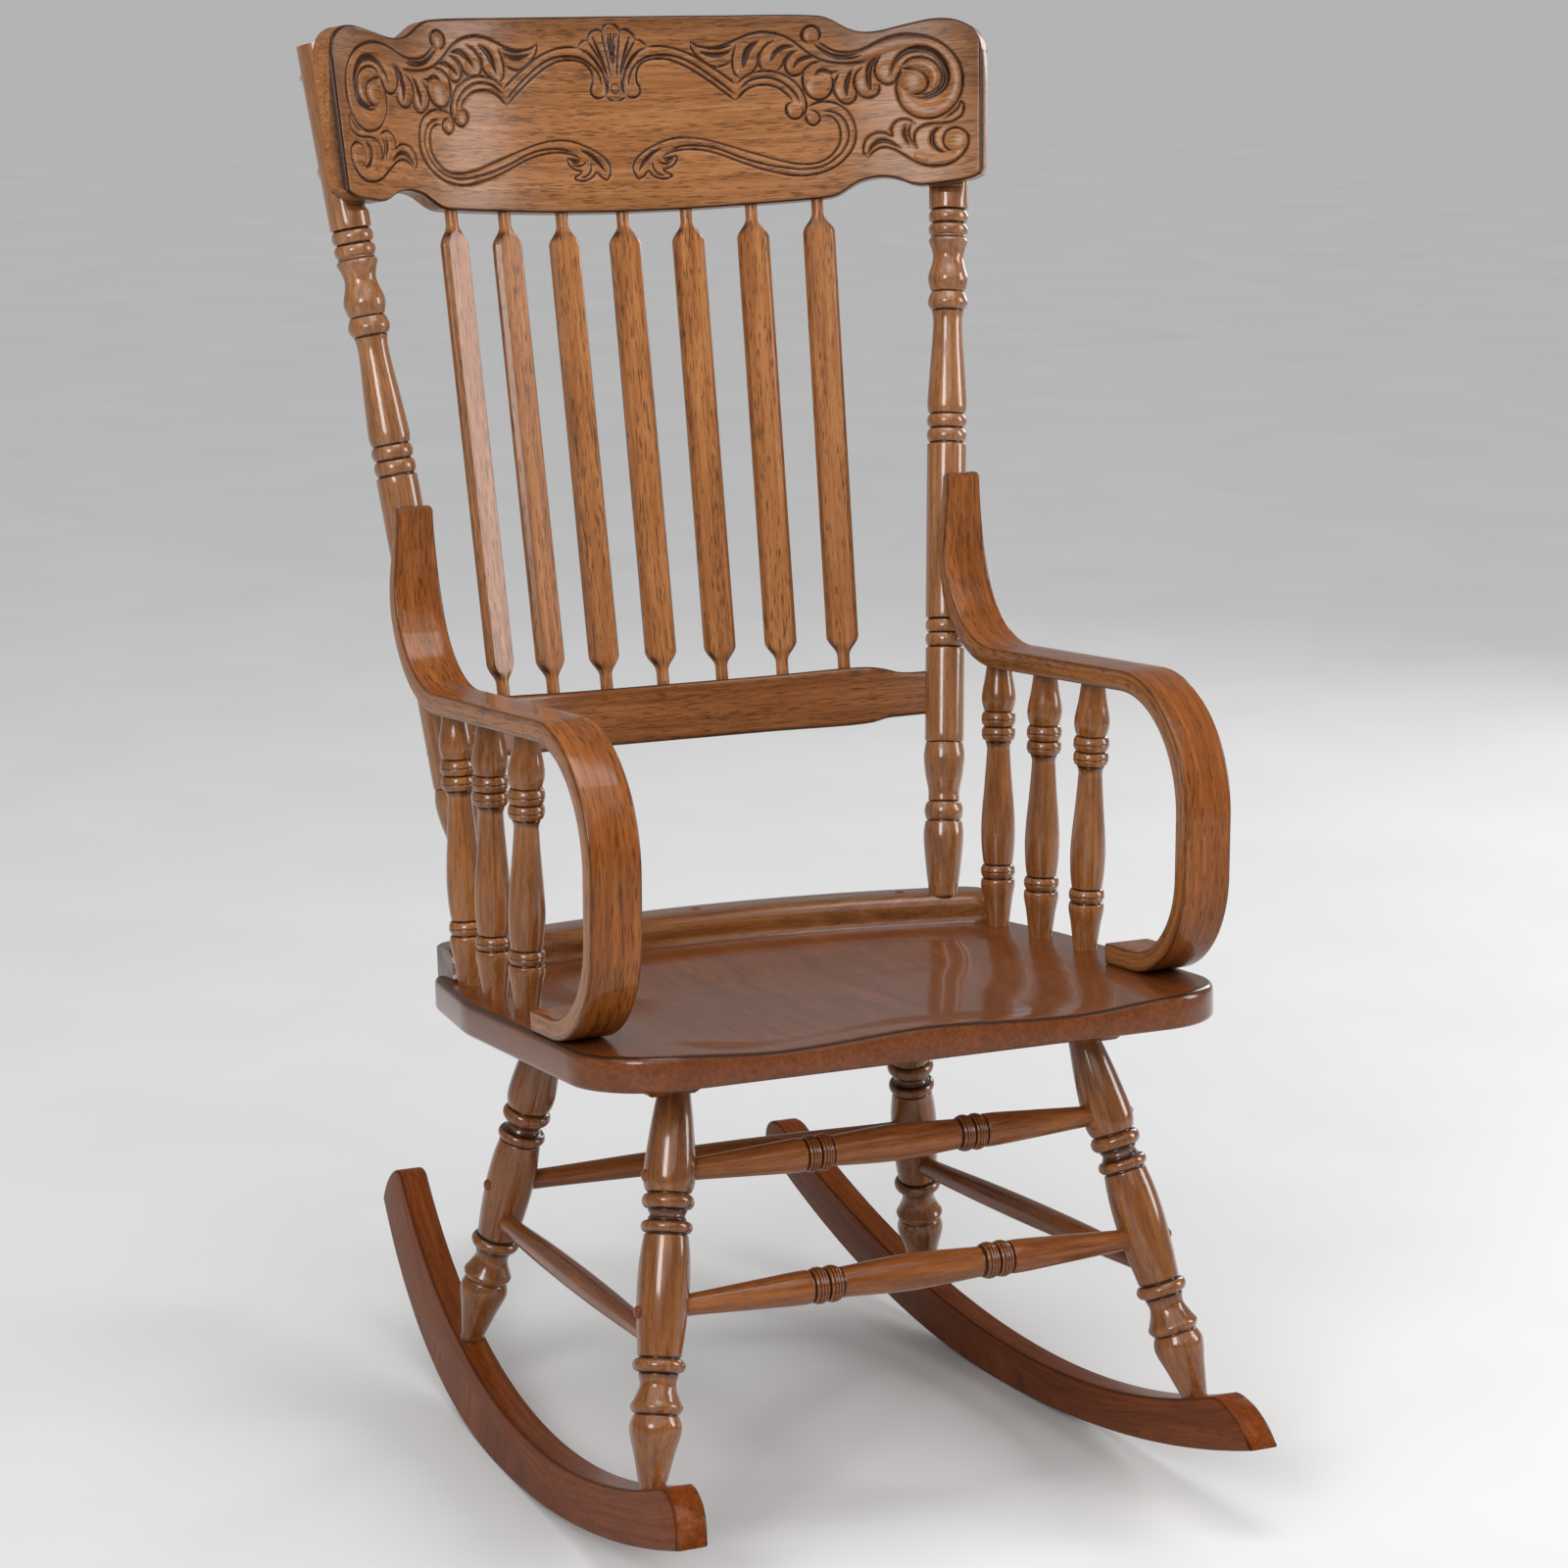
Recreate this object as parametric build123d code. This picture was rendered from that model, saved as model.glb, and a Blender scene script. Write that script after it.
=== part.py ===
from build123d import *
import math
import os

# A pressed-back rocking chair in millimetres.  +Z is up and the sitter faces -Y.
# The sitter's left is +X and Z = 0 is the floor.  The chair is drawn about a datum at
# Y = 0, a little in front of the line where its rockers touch the floor.  At the end
# it is moved so that the origin is the middle of its footprint.

TENON_ROOT = 5.0          # how far every round tenon starts inside its own piece

# Rockers: boards that lie in a plane leaning with the legs
SIDE_X = 237.5            # side plane's X at the datum, at the floor
TOE_IN = 0.058            # the side plane closes by this much per mm to the rear
CANT = 0.187              # and by this much per mm of height
ROCKER_THICK = 25.0
CONTACT_Y = 54.8          # the chair balances here; flatter curve before, steeper behind
NOSE = (-365.0, 74.8)     # (Y, Z) of the ends of the rolling curve
TAIL = (436.0, 109.0)
ROCKER_TOP = (2.0, 42.6)  # lowest point of the upper curve
ROCKER_TOP_RADIUS = 838.0
NOSE_TOP_Y = -318.0
TAIL_TOP_Y = 395.0
NOSE_ROUND = (16.0, 9.0)  # how far the rounded ends stand out at their middle
TAIL_ROUND = (4.0, 19.0)

# Seat: a board that rises to the front
SEAT_Z = 403.6            # top surface at the datum
SEAT_SLOPE = 0.0743
SEAT_THICK = 28.0
SEAT_HALF = 275.0
SEAT_FRONT = -270.0
SEAT_BACK = 204.0
SEAT_EDGE = 5.0           # rounding of the board's edges
DISH_DEPTH = 9.0
DISH_HALF = (205.0, 250.0)
DISH_Y = -128.0
DISH_BOWL = 40.0          # half height of the ellipsoid that hollows the seat

# Riser: the bent strip that stands on the rear edge of the seat
RISER_HEIGHT = 25.0
RISER_HALF = 252.0
RISER_FRONT = (162.0, 126.0)     # Y at the middle and at the posts
RISER_BACK = (204.0, 168.0)
RISER_SPAN = 215.0               # X where the second values hold
RISER_PLUG_X = (-183.0, 0.0, 183.0)
PLUG_BACK = 3.0                  # the plugs stand this far behind the riser's middle line
RISER_EDGE = 9.0                 # rounding of the front upper edge

# Cleats: battens under the seat that hold the legs
CLEAT = (50.0, 336.0, 20.0)      # width, length, thickness
CLEAT_X = 178.0
CLEAT_Y = -29.0
CLEAT_BEVEL = 7.0
CLEAT_TURN = 0.04                # the cleats close towards the rear, per mm

# Legs
FRONT_LEG = ((-181.4, 370.0), (-270.6, 88.5))    # (Y, Z) of top and foot
REAR_LEG = ((115.6, 346.5), (175.6, 66.0))
LEG_LENGTH = 300.0               # length that the turning pattern is drawn for
LEG_SCRIBE = (6.0, 8.0)          # extra length at top and foot, cut to the joined surfaces
LEG_TENON = (10.0, 14.0)         # radius, length
FOOT_TENON = (7.5, 22.0)

# Stretchers
FRONT_STRETCHER_Z = (311.0, 214.0)
STRETCHER_LENGTH = 370.0         # length that the turning pattern is drawn for
STRETCHER_END_RADIUS = 8.5
SOCKET_FLOOR = 6.0               # wood left between a socket and the leg's axis
SIDE_STRETCHER_Z = (190.0, 171.0)        # front end, rear end
REAR_STRETCHER_Z = 205.0
PLAIN_RADIUS = (8.5, 10.8)

# Back: everything lies on one upright cylinder that leans to the rear
BACK_LEAN = 12.0
BACK_RADIUS = 420.0              # front surface of crest and lower rail
BACK_THICK = 18.0
BACK_POINT = (355.0, 1105.6)     # (Y, Z) on the crest's front surface, in the middle
CREST_HALF_ANGLE = 45.3
RAIL_HALF_ANGLE = 34.5
SLAT_COUNT = 7
SLAT_PITCH = (7.8, 7.27)         # degrees between slats at the crest and at the rail
SLAT_WIDTH = 28.0
SLAT_THICK = 11.0
SLAT_NECK = 5.2                  # radius
SLAT_TENON = 12.0
SLAT_ENDS = (-106.0, -515.5)     # distance along the lean at the crest and at the rail

# Posts
POST_FOOT = (214.2, 139.6, 418.0)
POST_SLOPE = (0.10448, 0.20652)  # X and Y per mm of height
POST_LENGTH = 751.0
POST_TENON = (9.0, 40.0)

# Arms: one bent board each, from the post round to the seat
ARM_X = 252.0
ARM_WIDTH = 42.0
ARM_TIP_WIDTH = 31.7
ARM_TAPER_Z = 690.0
ARM_THICK = 17.0
ARM_PATH = [(186.0, 779.0), (186.0, 625.0), (-238.5, 659.0), (-238.5, 430.0), (-118.0, 420.9)]
ARM_BENDS = [92.0, 95.0, 85.0]

# Arm spindles, rear to front: (X, Y, Z) at the seat and at the arm
SPINDLES = {
    "rear": ((243.2, 91.9, 396.5), (248.4, 104.6, 629.0)),
    "middle": ((247.9, 22.3, 401.9), (249.5, 22.3, 630.0)),
    "front": ((249.6, -53.3, 408.0), (249.9, -60.0, 635.0)),
}
SPINDLE_LENGTH = 226.0
SPINDLE_TENON = (6.5, 11.0)

# Fasteners
SCREW = (1.9, 4.0, 2.6)          # shank radius, head radius, head height
BOLT = (3.0, 6.5, 3.2)
CAP = (5.0, 4.4)                 # radius and length of a cover button
CAP_DOME = 2.6
RISER_CAP_DOME = 1.3
SCREW_SINK = 3.0                 # depth of a head below the wood
CLEAT_SCREWS = (-135.0, -29.0, 77.0)      # Y on the seat plane
CLEAT_SCREW_LENGTH = 34.0
ARM_SCREWS = (-156.0, -132.0)              # Y on the seat plane
ARM_SCREW_LENGTH = 38.0
POST_SCREW_LENGTH = 36.0
ROCKER_SCREW = (24.0, 8.0)       # length, gap between its head and the foot's tenon
COUNTERBORE = (4.3, 30.0)        # radius, length; open below the rocker
RISER_SCREW_LENGTH = 36.0
STRETCHER_SCREW = (34.0, 20.6)   # length, cap's distance from the leg's axis
CREST_BOLTS = (1048.0, 1124.0)   # heights
ARM_BOLT_Z = 745.0
ARM_BOLT_LENGTH = 38.0
HEAD_SEAT = 15.6                 # from a post's axis to a bolt head's underside
BOLT_REACH = 20.0                # from a post's axis to a crest bolt's tip

SIDES = {"left": 1, "right": -1}

# Turning patterns, each as (shape, point, point, ...) with points (distance, radius)
LEG_TURNING = [
    ("curve", (0, 12.7), (32, 17.2), (64, 20.2), (78, 18.0)),
    ("bead", (79, 17.4), (85.2, 20.4), (91, 17.0)),
    ("curve", (91.5, 16.0), (95.3, 13.9), (99, 16.0)),
    ("bead", (99.5, 17.0), (105, 20.0), (109.3, 17.2)),
    ("curve", (110, 17.6), (152.5, 20.2), (202.5, 17.2)),
    ("bead", (203.5, 16.8), (209, 20.6), (214.5, 17.0)),
    ("curve", (215, 16.2), (224, 14.2), (235, 18.2), (240.5, 20.5), (245, 18.6)),
    ("curve", (246.5, 18.2), (255.6, 20.2), (276, 15.6), (300, 10.1)),
]
FRONT_STRETCHER_TURNING = [
    ("curve", (0, 8.5), (13, 8.5), (60, 11.2), (104, 13.6), (106, 13.4)),
    ("bead", (107, 12.6), (112.5, 14.7), (118, 12.9)),
    ("bead", (118, 12.9), (123.5, 14.7), (129, 12.6)),
    ("curve", (130, 12.0), (185, 14.6), (240, 12.0)),
    ("bead", (241, 12.6), (246.5, 14.7), (252, 12.9)),
    ("bead", (252, 12.9), (257.5, 14.7), (263, 12.6)),
    ("curve", (264, 13.4), (266, 13.6), (310, 11.2), (357, 8.5), (370, 8.5)),
]
SPINDLE_TURNING = [
    ("curve", (0, 9.8), (22, 12.6), (36, 14.8), (40, 14.2)),
    ("bead", (41, 13.2), (46.5, 14.9), (52, 13.2)),
    ("curve", (53, 12.9), (82, 14.7), (118, 12.2), (142, 10.4), (152, 10.1), (156.5, 11.8)),
    ("bead", (157, 13.0), (162.5, 14.7), (169, 13.2)),
    ("bead", (169, 13.2), (175.5, 14.9), (181.5, 13.2)),
    ("curve", (182.5, 13.2), (192, 14.7), (212, 11.6), (226, 9.8)),
]
POST_TURNING = [
    ("curve", (0, 12.4), (25, 15.6), (50.8, 17.5), (62, 16.4)),
    ("bead", (63.5, 15.4), (71.5, 16.9), (79.5, 14.6)),
    ("curve", (80, 14.0), (88, 13.7), (119.7, 17.9), (130.5, 16.6)),
    ("straight", (132.5, 17.0), (214, 17.0)),
    ("bead", (215, 15.6), (221, 17.2), (227, 15.6)),
    ("bead", (227, 15.6), (233, 17.2), (239, 15.6)),
    ("straight", (240, 17.2), (392, 17.2)),
    ("bead", (393.5, 15.8), (399.5, 17.4), (405.5, 15.8)),
    ("bead", (406.5, 15.8), (412.5, 17.4), (418, 15.8)),
    ("curve", (419, 16.4), (425.3, 17.2), (465, 14.8), (502.8, 12.9), (509, 14.4)),
    ("curve", (510, 15.4), (516, 17.5), (525, 15.2)),
    ("curve", (526, 15.4), (537.2, 17.5), (550, 14.2), (556.2, 13.3), (562, 14.4), (570, 17.3)),
    ("bead", (575, 15.6), (580, 17.3), (585, 15.6)),
    ("bead", (586, 15.6), (591.5, 17.3), (597, 15.6)),
    ("straight", (598, 17.2), (751, 17.2)),
]

# Half outlines of the crest and the lower rail: (angle from the middle, height)
CREST_TOP = [(0, 64), (8, 62.8), (19, 59.8), (25, 55)]
CREST_EAR = [(25, 55), (27.6, 48), (29.2, 41), (31.8, 36.6), (35.4, 37.6), (39.4, 41),
             (42.6, 36.5), (44.6, 22), (45.3, 8)]
CREST_BOTTOM = [(0, -108), (12, -106.8), (25, -104.4)]
CREST_LOBE = [(25, -104.4), (27.6, -99.5), (29.4, -93.8), (31.8, -90.8), (34.2, -93.6),
              (37, -99.8), (41, -101.6), (45.3, -100)]
RAIL_OUTLINE = [(24.6, -515.5), (26.6, -518.5), (28.4, -522.5), (34.5, -523.4)]
RAIL_UNDER = [(24.4, -564.4), (26.4, -561.5), (28.4, -561), (34.5, -560.6)]


def side_x(y, z):
    """X of the side plane, in which a rocker and its two legs lie."""
    return SIDE_X - TOE_IN * y - CANT * z


def mirrored(shape):
    return mirror(shape, about=Plane.YZ)


def rocker_top(y):
    """Height of the rocker's upper curve."""
    low_y, low_z = ROCKER_TOP
    return low_z + ROCKER_TOP_RADIUS - math.sqrt(ROCKER_TOP_RADIUS**2 - (y - low_y) ** 2)


# ---------------------------------------------------------------- turned pieces
CURVES = {"straight": Line, "bead": ThreePointArc, "curve": Spline}


def turned(pattern, stretch=1.0):
    """Solid turned about +Z from a pattern of curves, beads and cylinders."""
    edges = []
    last = (0.0, 0.0, pattern[0][1][0] * stretch)
    for shape, *stations in pattern:
        points = [(radius, 0.0, distance * stretch) for distance, radius in stations]
        if last != points[0]:
            edges.append(Line(last, points[0]))
        edges.append(CURVES[shape](*points))
        last = points[-1]
    top = (0.0, 0.0, last[2])
    edges.append(Line(last, top))
    edges.append(Line(top, (0.0, 0.0, pattern[0][1][0] * stretch)))
    return revolve(make_face(edges), Axis.Z)


def between(solid, start, end):
    """Place a solid drawn along +Z so that it runs from start towards end."""
    return Plane(origin=start, z_dir=Vector(*end) - Vector(*start)) * solid


def rod(start, end, radius):
    length = (Vector(*end) - Vector(*start)).length
    shape = Cylinder(radius, length, align=(Align.CENTER, Align.CENTER, Align.MIN))
    return between(shape, start, end)


def beyond(start, end, distance):
    """Point past end, on the line from start."""
    step = (Vector(*end) - Vector(*start)).normalized() * distance
    return tuple(Vector(*end) + step)


def tenon(start, end, radius, length):
    """Round tenon that stands out past end and is rooted inside the turned piece."""
    return rod(beyond(start, end, -TENON_ROOT), beyond(start, end, length), radius)


# ---------------------------------------------------------------- rockers and legs
def rocker_blank():
    """Left rocker before its mortises: a curved profile cut from a leaning board."""
    contact = (0, CONTACT_Y, 0)
    nose_low, tail_low = (0, *NOSE), (0, *TAIL)
    nose_top = (0, NOSE_TOP_Y, rocker_top(NOSE_TOP_Y))
    tail_top = (0, TAIL_TOP_Y, rocker_top(TAIL_TOP_Y))
    nose_mid = (0, NOSE[0] + NOSE_ROUND[0], nose_top[2] - NOSE_ROUND[1])
    tail_mid = (0, TAIL[0] - TAIL_ROUND[0], TAIL[1] + TAIL_ROUND[1])
    outline = [
        TangentArc(contact, nose_low, tangent=(0, -1, 0)),
        TangentArc(contact, tail_low, tangent=(0, 1, 0)),
        ThreePointArc(tail_low, tail_mid, tail_top),
        ThreePointArc(tail_top, (0, *ROCKER_TOP), nose_top),
        ThreePointArc(nose_top, nose_mid, nose_low),
    ]
    profile = extrude(make_face(outline), amount=2 * SIDE_X, dir=(1, 0, 0))
    plane = Plane(origin=(SIDE_X, 0, 0), x_dir=(0, 1, 0), z_dir=(1, TOE_IN, CANT))
    board = plane * Box(3 * SIDE_X * 2, 3 * SIDE_X, ROCKER_THICK)
    return profile & board


def leg_ends(leg):
    return [(side_x(y, z), y, z) for y, z in leg]


def leg_tenons(leg):
    top, foot = leg_ends(leg)
    upper = tenon(foot, top, *LEG_TENON)
    lower = tenon(top, foot, *FOOT_TENON)
    return upper, lower


def leg_blank(leg):
    """Left leg without sockets, its ends run on a little to be scribed later."""
    top, foot = leg_ends(leg)
    stretch = (Vector(*foot) - Vector(*top)).length / LEG_LENGTH
    body = between(turned(LEG_TURNING, stretch), top, foot)
    crown = rod(top, beyond(foot, top, LEG_SCRIBE[0]), LEG_TURNING[0][1][1])
    pad = rod(foot, beyond(top, foot, LEG_SCRIBE[1]), LEG_TURNING[-1][-1][1])
    return body + crown + pad


# ---------------------------------------------------------------- stretchers
def on_leg(leg, z, inset=SOCKET_FLOOR):
    """Point on a left leg's axis at height z, moved inwards by the socket floor."""
    (y0, z0), (y1, z1) = leg
    y = y0 + (y1 - y0) * (z - z0) / (z1 - z0)
    return (side_x(y, z) - inset, y, z)


def cross_ends(leg, z):
    x, y, z = on_leg(leg, z)
    return (-x, y, z), (x, y, z)


def front_stretcher(z):
    start, end = cross_ends(FRONT_LEG, z)
    stretch = (end[0] - start[0]) / STRETCHER_LENGTH
    return between(turned(FRONT_STRETCHER_TURNING, stretch), start, end)


def plain_stretcher(start, end):
    """Round rail, a little thicker in the middle than at its ends."""
    length = (Vector(*end) - Vector(*start)).length
    thin, thick = PLAIN_RADIUS
    pattern = [("curve", (0, thin), (0.08 * length, thin), (0.5 * length, thick),
                (0.92 * length, thin), (length, thin))]
    return between(turned(pattern), start, end)


def side_stretcher_ends():
    front = on_leg(FRONT_LEG, SIDE_STRETCHER_Z[0], 0)
    rear = on_leg(REAR_LEG, SIDE_STRETCHER_Z[1], 0)
    start = beyond(rear, front, -SOCKET_FLOOR)
    end = beyond(front, rear, -SOCKET_FLOOR)
    return start, end


# ---------------------------------------------------------------- seat
SEAT_PLANE = Plane(origin=(0, 0, SEAT_Z), x_dir=(1, 0, 0), z_dir=(0, SEAT_SLOPE, 1))


def seat_outline():
    corners = [(-SEAT_HALF, SEAT_FRONT), (SEAT_HALF, SEAT_FRONT), (SEAT_HALF, 25),
               (256, 155), (110, SEAT_BACK), (-110, SEAT_BACK), (-256, 155), (-SEAT_HALF, 25)]
    bends = [68, 68, 150, 40, 500, 500, 40, 150]
    return make_face(FilletPolyline(*corners, radius=bends, close=True))


def dish():
    """Ellipsoid whose lowest part hollows the seat."""
    lift = DISH_BOWL - DISH_DEPTH
    spread = math.sqrt(1 - (lift / DISH_BOWL) ** 2)
    size = (DISH_HALF[0] / spread, DISH_HALF[1] / spread, DISH_BOWL)
    return Location((0, DISH_Y, lift)) * scale(Sphere(1), by=size)


def seat_blank():
    board = extrude(seat_outline(), amount=-SEAT_THICK)
    rims = board.edges().filter_by(lambda edge: edge.length > 1 and
                                   abs(edge.center().Z - edge.start_point().Z) < 0.01)
    board = fillet(rims, SEAT_EDGE)
    return SEAT_PLANE * (board - dish())


def riser_blank():
    """Bent strip with a rounded front, standing on the rear of the seat."""
    def bow(ends):
        middle, side = ends
        return ThreePointArc((-RISER_SPAN, side), (0, middle), (RISER_SPAN, side))
    half = RISER_HALF
    front = bow(RISER_FRONT)
    back = bow(RISER_BACK)
    ends = [(RISER_SPAN, RISER_FRONT[1]), (half, RISER_FRONT[1] - 2), (half, 142),
            (RISER_SPAN, RISER_BACK[1])]
    right = Polyline(*ends)
    left = Polyline(*[(-x, y) for x, y in ends])
    strip = extrude(make_face([front, back, right, left]), amount=RISER_HEIGHT)
    front_top = strip.edges().group_by(Axis.Z)[-1].filter_by(GeomType.CIRCLE).sort_by(Axis.Y)[0]
    return SEAT_PLANE * fillet(front_top, RISER_EDGE)


def cleat():
    """Left batten under the seat, bevelled all round its lower edge."""
    width, length, thick = CLEAT
    block = Box(width, length, thick, align=(Align.CENTER, Align.CENTER, Align.MAX))
    block = chamfer(block.edges().group_by(Axis.Z)[0], CLEAT_BEVEL)
    turn = math.degrees(math.atan(CLEAT_TURN))
    return SEAT_PLANE * Location((CLEAT_X, CLEAT_Y, -SEAT_THICK), (0, 0, turn)) * block


# ---------------------------------------------------------------- back
LEAN = math.radians(BACK_LEAN)
BACK_AXIS = Plane(
    origin=(0, BACK_POINT[0] - BACK_RADIUS * math.cos(LEAN),
            BACK_POINT[1] + BACK_RADIUS * math.sin(LEAN)),
    x_dir=(1, 0, 0), z_dir=(0, math.sin(LEAN), math.cos(LEAN)))
BACK_MIDDLE = BACK_RADIUS + BACK_THICK / 2


def on_back(angle, height, radius=BACK_MIDDLE):
    turn = math.radians(angle)
    return (radius * math.sin(turn), radius * math.cos(turn), height)


def flat_outline(halves):
    """Points of (angle, height) laid out flat, as seen from the front."""
    return [(BACK_RADIUS * math.sin(math.radians(angle)), 0, height) for angle, height in halves]


def bent_board(half_angle, upper, lower):
    """A board bent round the back's cylinder, with symmetric upper and lower edges."""
    def both(points):
        right = flat_outline(points)
        return right, [(-x, y, z) for x, y, z in right]
    edges = []
    for curves in (upper, lower):
        for shape, points in curves:
            right, left = both(points)
            edges += [CURVES[shape](*right), CURVES[shape](*left)]
    tip_up, tip_down = upper[-1][1][-1], lower[-1][1][-1]
    for sign in (1, -1):
        ends = [(sign * x, y, z) for x, y, z in flat_outline([tip_up, tip_down])]
        edges.append(Line(*ends))
    face = make_face(edges)
    block = extrude(face, amount=2 * BACK_RADIUS, dir=(0, 1, 0))
    reach = 3 * BACK_RADIUS
    ring = Cylinder(BACK_RADIUS + BACK_THICK, reach) - Cylinder(BACK_RADIUS, reach)
    return block & ring


def crest():
    top = [("curve", CREST_TOP), ("curve", CREST_EAR)]
    bottom = [("curve", CREST_BOTTOM), ("curve", CREST_LOBE)]
    return BACK_AXIS * bent_board(CREST_HALF_ANGLE, top, bottom)


def lower_rail():
    top = [("straight", [(0, -515.5), RAIL_OUTLINE[0]]), ("curve", RAIL_OUTLINE)]
    bottom = [("straight", [(0, -564.4), RAIL_UNDER[0]]), ("curve", RAIL_UNDER)]
    return BACK_AXIS * bent_board(RAIL_HALF_ANGLE, top, bottom)


def slat(index):
    """Paddle with a flat front, bevelled edges and a round neck at each end."""
    angles = [index * pitch for pitch in SLAT_PITCH]
    head = BACK_AXIS.from_local_coords(Vector(*on_back(angles[0], SLAT_ENDS[0])))
    foot = BACK_AXIS.from_local_coords(Vector(*on_back(angles[1], SLAT_ENDS[1])))
    turn = math.radians(sum(angles) / 2)
    length = (head - foot).length
    facing = BACK_AXIS.from_local_coords(Vector(math.cos(turn), -math.sin(turn), 0)) \
        - BACK_AXIS.from_local_coords(Vector(0, 0, 0))
    frame = Plane(origin=foot, x_dir=facing, z_dir=head - foot)
    half = SLAT_WIDTH / 2
    neck = SLAT_NECK
    right = [(neck, -SLAT_TENON), (neck, 13), (half, 30), (half, length - 32), (neck, length - 16),
             (neck, length + SLAT_TENON)]
    outline = right + [(-x, z) for x, z in reversed(right)]
    face = make_face(Polyline(*[(x, 0, z) for x, z in outline], close=True))
    blade = extrude(face, amount=SLAT_THICK / 2, dir=(0, 1, 0), both=True)
    sides = blade.edges().filter_by(Axis.Z).filter_by(lambda edge: edge.length > 100)
    blade = chamfer(sides, 3.6)
    core = Cylinder(neck, length + 2 * SLAT_TENON, align=(Align.CENTER, Align.CENTER, Align.MIN))
    core = Location((0, 0, -SLAT_TENON)) * core
    waist = Location((0, 0, length / 2)) * Box(SLAT_WIDTH + 2, SLAT_THICK + 2, length - 44)
    return frame * ((blade & waist) + core + (blade & neck_cone(length)))


def neck_cone(length):
    """Round envelope that turns the flat blade into its necks."""
    half = SLAT_WIDTH / 2 + 1
    pattern = [("straight", (-SLAT_TENON, SLAT_NECK), (12, SLAT_NECK)),
               ("straight", (30, half), (length - 32, half)),
               ("straight", (length - 15, SLAT_NECK), (length + SLAT_TENON, SLAT_NECK))]
    return turned(pattern)


# ---------------------------------------------------------------- posts
def post_ends():
    foot = POST_FOOT
    rise = Vector(POST_SLOPE[0], POST_SLOPE[1], 1).normalized()
    return foot, tuple(Vector(*foot) + rise * POST_LENGTH)


def post_blank():
    foot, head = post_ends()
    stub = rod(foot, beyond(head, foot, 5.0), POST_TURNING[0][1][1])
    return between(turned(POST_TURNING), foot, head) + stub


def post_tenon():
    foot, head = post_ends()
    return tenon(head, foot, *POST_TENON)


def crest_hollow():
    """All that lies in front of the crest's back surface, from just below the crest up."""
    low, high = -118.0, 80.0
    drum = Cylinder(BACK_RADIUS + BACK_THICK, high - low,
                    align=(Align.CENTER, Align.CENTER, Align.MIN))
    return BACK_AXIS * Location((0, 0, low)) * drum


# ---------------------------------------------------------------- arms and spindles
def arm():
    """Left arm: a bent board, narrower towards the post."""
    path = FilletPolyline(*[(0, y, z) for y, z in ARM_PATH], radius=ARM_BENDS)
    foot = Plane(origin=path @ 0, x_dir=(1, 0, 0), z_dir=path % 0)
    board = sweep(foot * Rectangle(ARM_WIDTH, ARM_THICK), path=path)
    half, tip = ARM_WIDTH / 2, ARM_TIP_WIDTH / 2
    head = ARM_PATH[0][1]
    front = [(-half, 0), (half, 0), (half, ARM_TAPER_Z), (tip, head), (-tip, head),
             (-half, ARM_TAPER_Z)]
    face = make_face(Polyline(*[(x, 0, z) for x, z in front], close=True))
    return Location((ARM_X, 0, 0)) * (board & extrude(face, amount=400, dir=(0, 1, 0), both=True))


def spindle_blank(ends):
    seat_end, arm_end = ends
    stretch = (Vector(*arm_end) - Vector(*seat_end)).length / SPINDLE_LENGTH
    body = between(turned(SPINDLE_TURNING, stretch), seat_end, arm_end)
    low = rod(seat_end, beyond(arm_end, seat_end, 4.0), SPINDLE_TURNING[0][1][1])
    high = rod(arm_end, beyond(seat_end, arm_end, 6.0), SPINDLE_TURNING[-1][-1][1])
    return body + low + high


def spindle_tenons(ends):
    seat_end, arm_end = ends
    lower = tenon(arm_end, seat_end, *SPINDLE_TENON)
    upper = tenon(seat_end, arm_end, *SPINDLE_TENON)
    return lower, upper


# ---------------------------------------------------------------- fasteners
def headed(size, length, place, direction):
    """Screw or bolt whose head's underside is at place, pointing along direction."""
    shank, head, height = size
    body = Cylinder(shank, length, align=(Align.CENTER, Align.CENTER, Align.MIN))
    top = Cylinder(head, height, align=(Align.CENTER, Align.CENTER, Align.MAX))
    top = chamfer(top.edges().group_by(Axis.Z)[0], height * 0.4)
    return Plane(origin=place, z_dir=direction) * (body + top)


def cap(place, direction, dome=CAP_DOME):
    """Cover button whose rim is level with place and whose dome stands out."""
    radius, length = CAP
    pattern = [("straight", (-length, radius), (0, radius)),
               ("curve", (0, radius), (0.6 * dome, 0.75 * radius), (dome, 0.2))]
    return Plane(origin=place, z_dir=direction) * turned(pattern)


def on_seat(x, y, z=0.0):
    return SEAT_PLANE.from_local_coords((x, y, z))


def up_from_seat():
    return SEAT_PLANE.z_dir


def post_point(z):
    rise = z - POST_FOOT[2]
    return Vector(POST_FOOT[0] + POST_SLOPE[0] * rise, POST_FOOT[1] + POST_SLOPE[1] * rise, z)


def crest_bolts():
    """Bolts through the back of the left post into the crest, square to its curve."""
    bolts = []
    for z in CREST_BOLTS:
        axis = post_point(z)
        local = BACK_AXIS.to_local_coords(axis)
        inward = BACK_AXIS.from_local_coords((0, 0, local.Z)) - axis
        inward = inward.normalized()
        bolts.append(headed(BOLT, HEAD_SEAT + BOLT_REACH, axis - inward * HEAD_SEAT, inward))
    return bolts


def arm_bolt():
    axis = post_point(ARM_BOLT_Z)
    return [headed(BOLT, ARM_BOLT_LENGTH, axis + Vector(0, HEAD_SEAT, 0), (0, -1, 0))]


def cleat_screws():
    depth = SCREW_SINK - SEAT_THICK - CLEAT[2]
    places = [on_seat(CLEAT_X - CLEAT_TURN * (y - CLEAT_Y), y, depth) for y in CLEAT_SCREWS]
    return [headed(SCREW, CLEAT_SCREW_LENGTH, place, up_from_seat()) for place in places]


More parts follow.
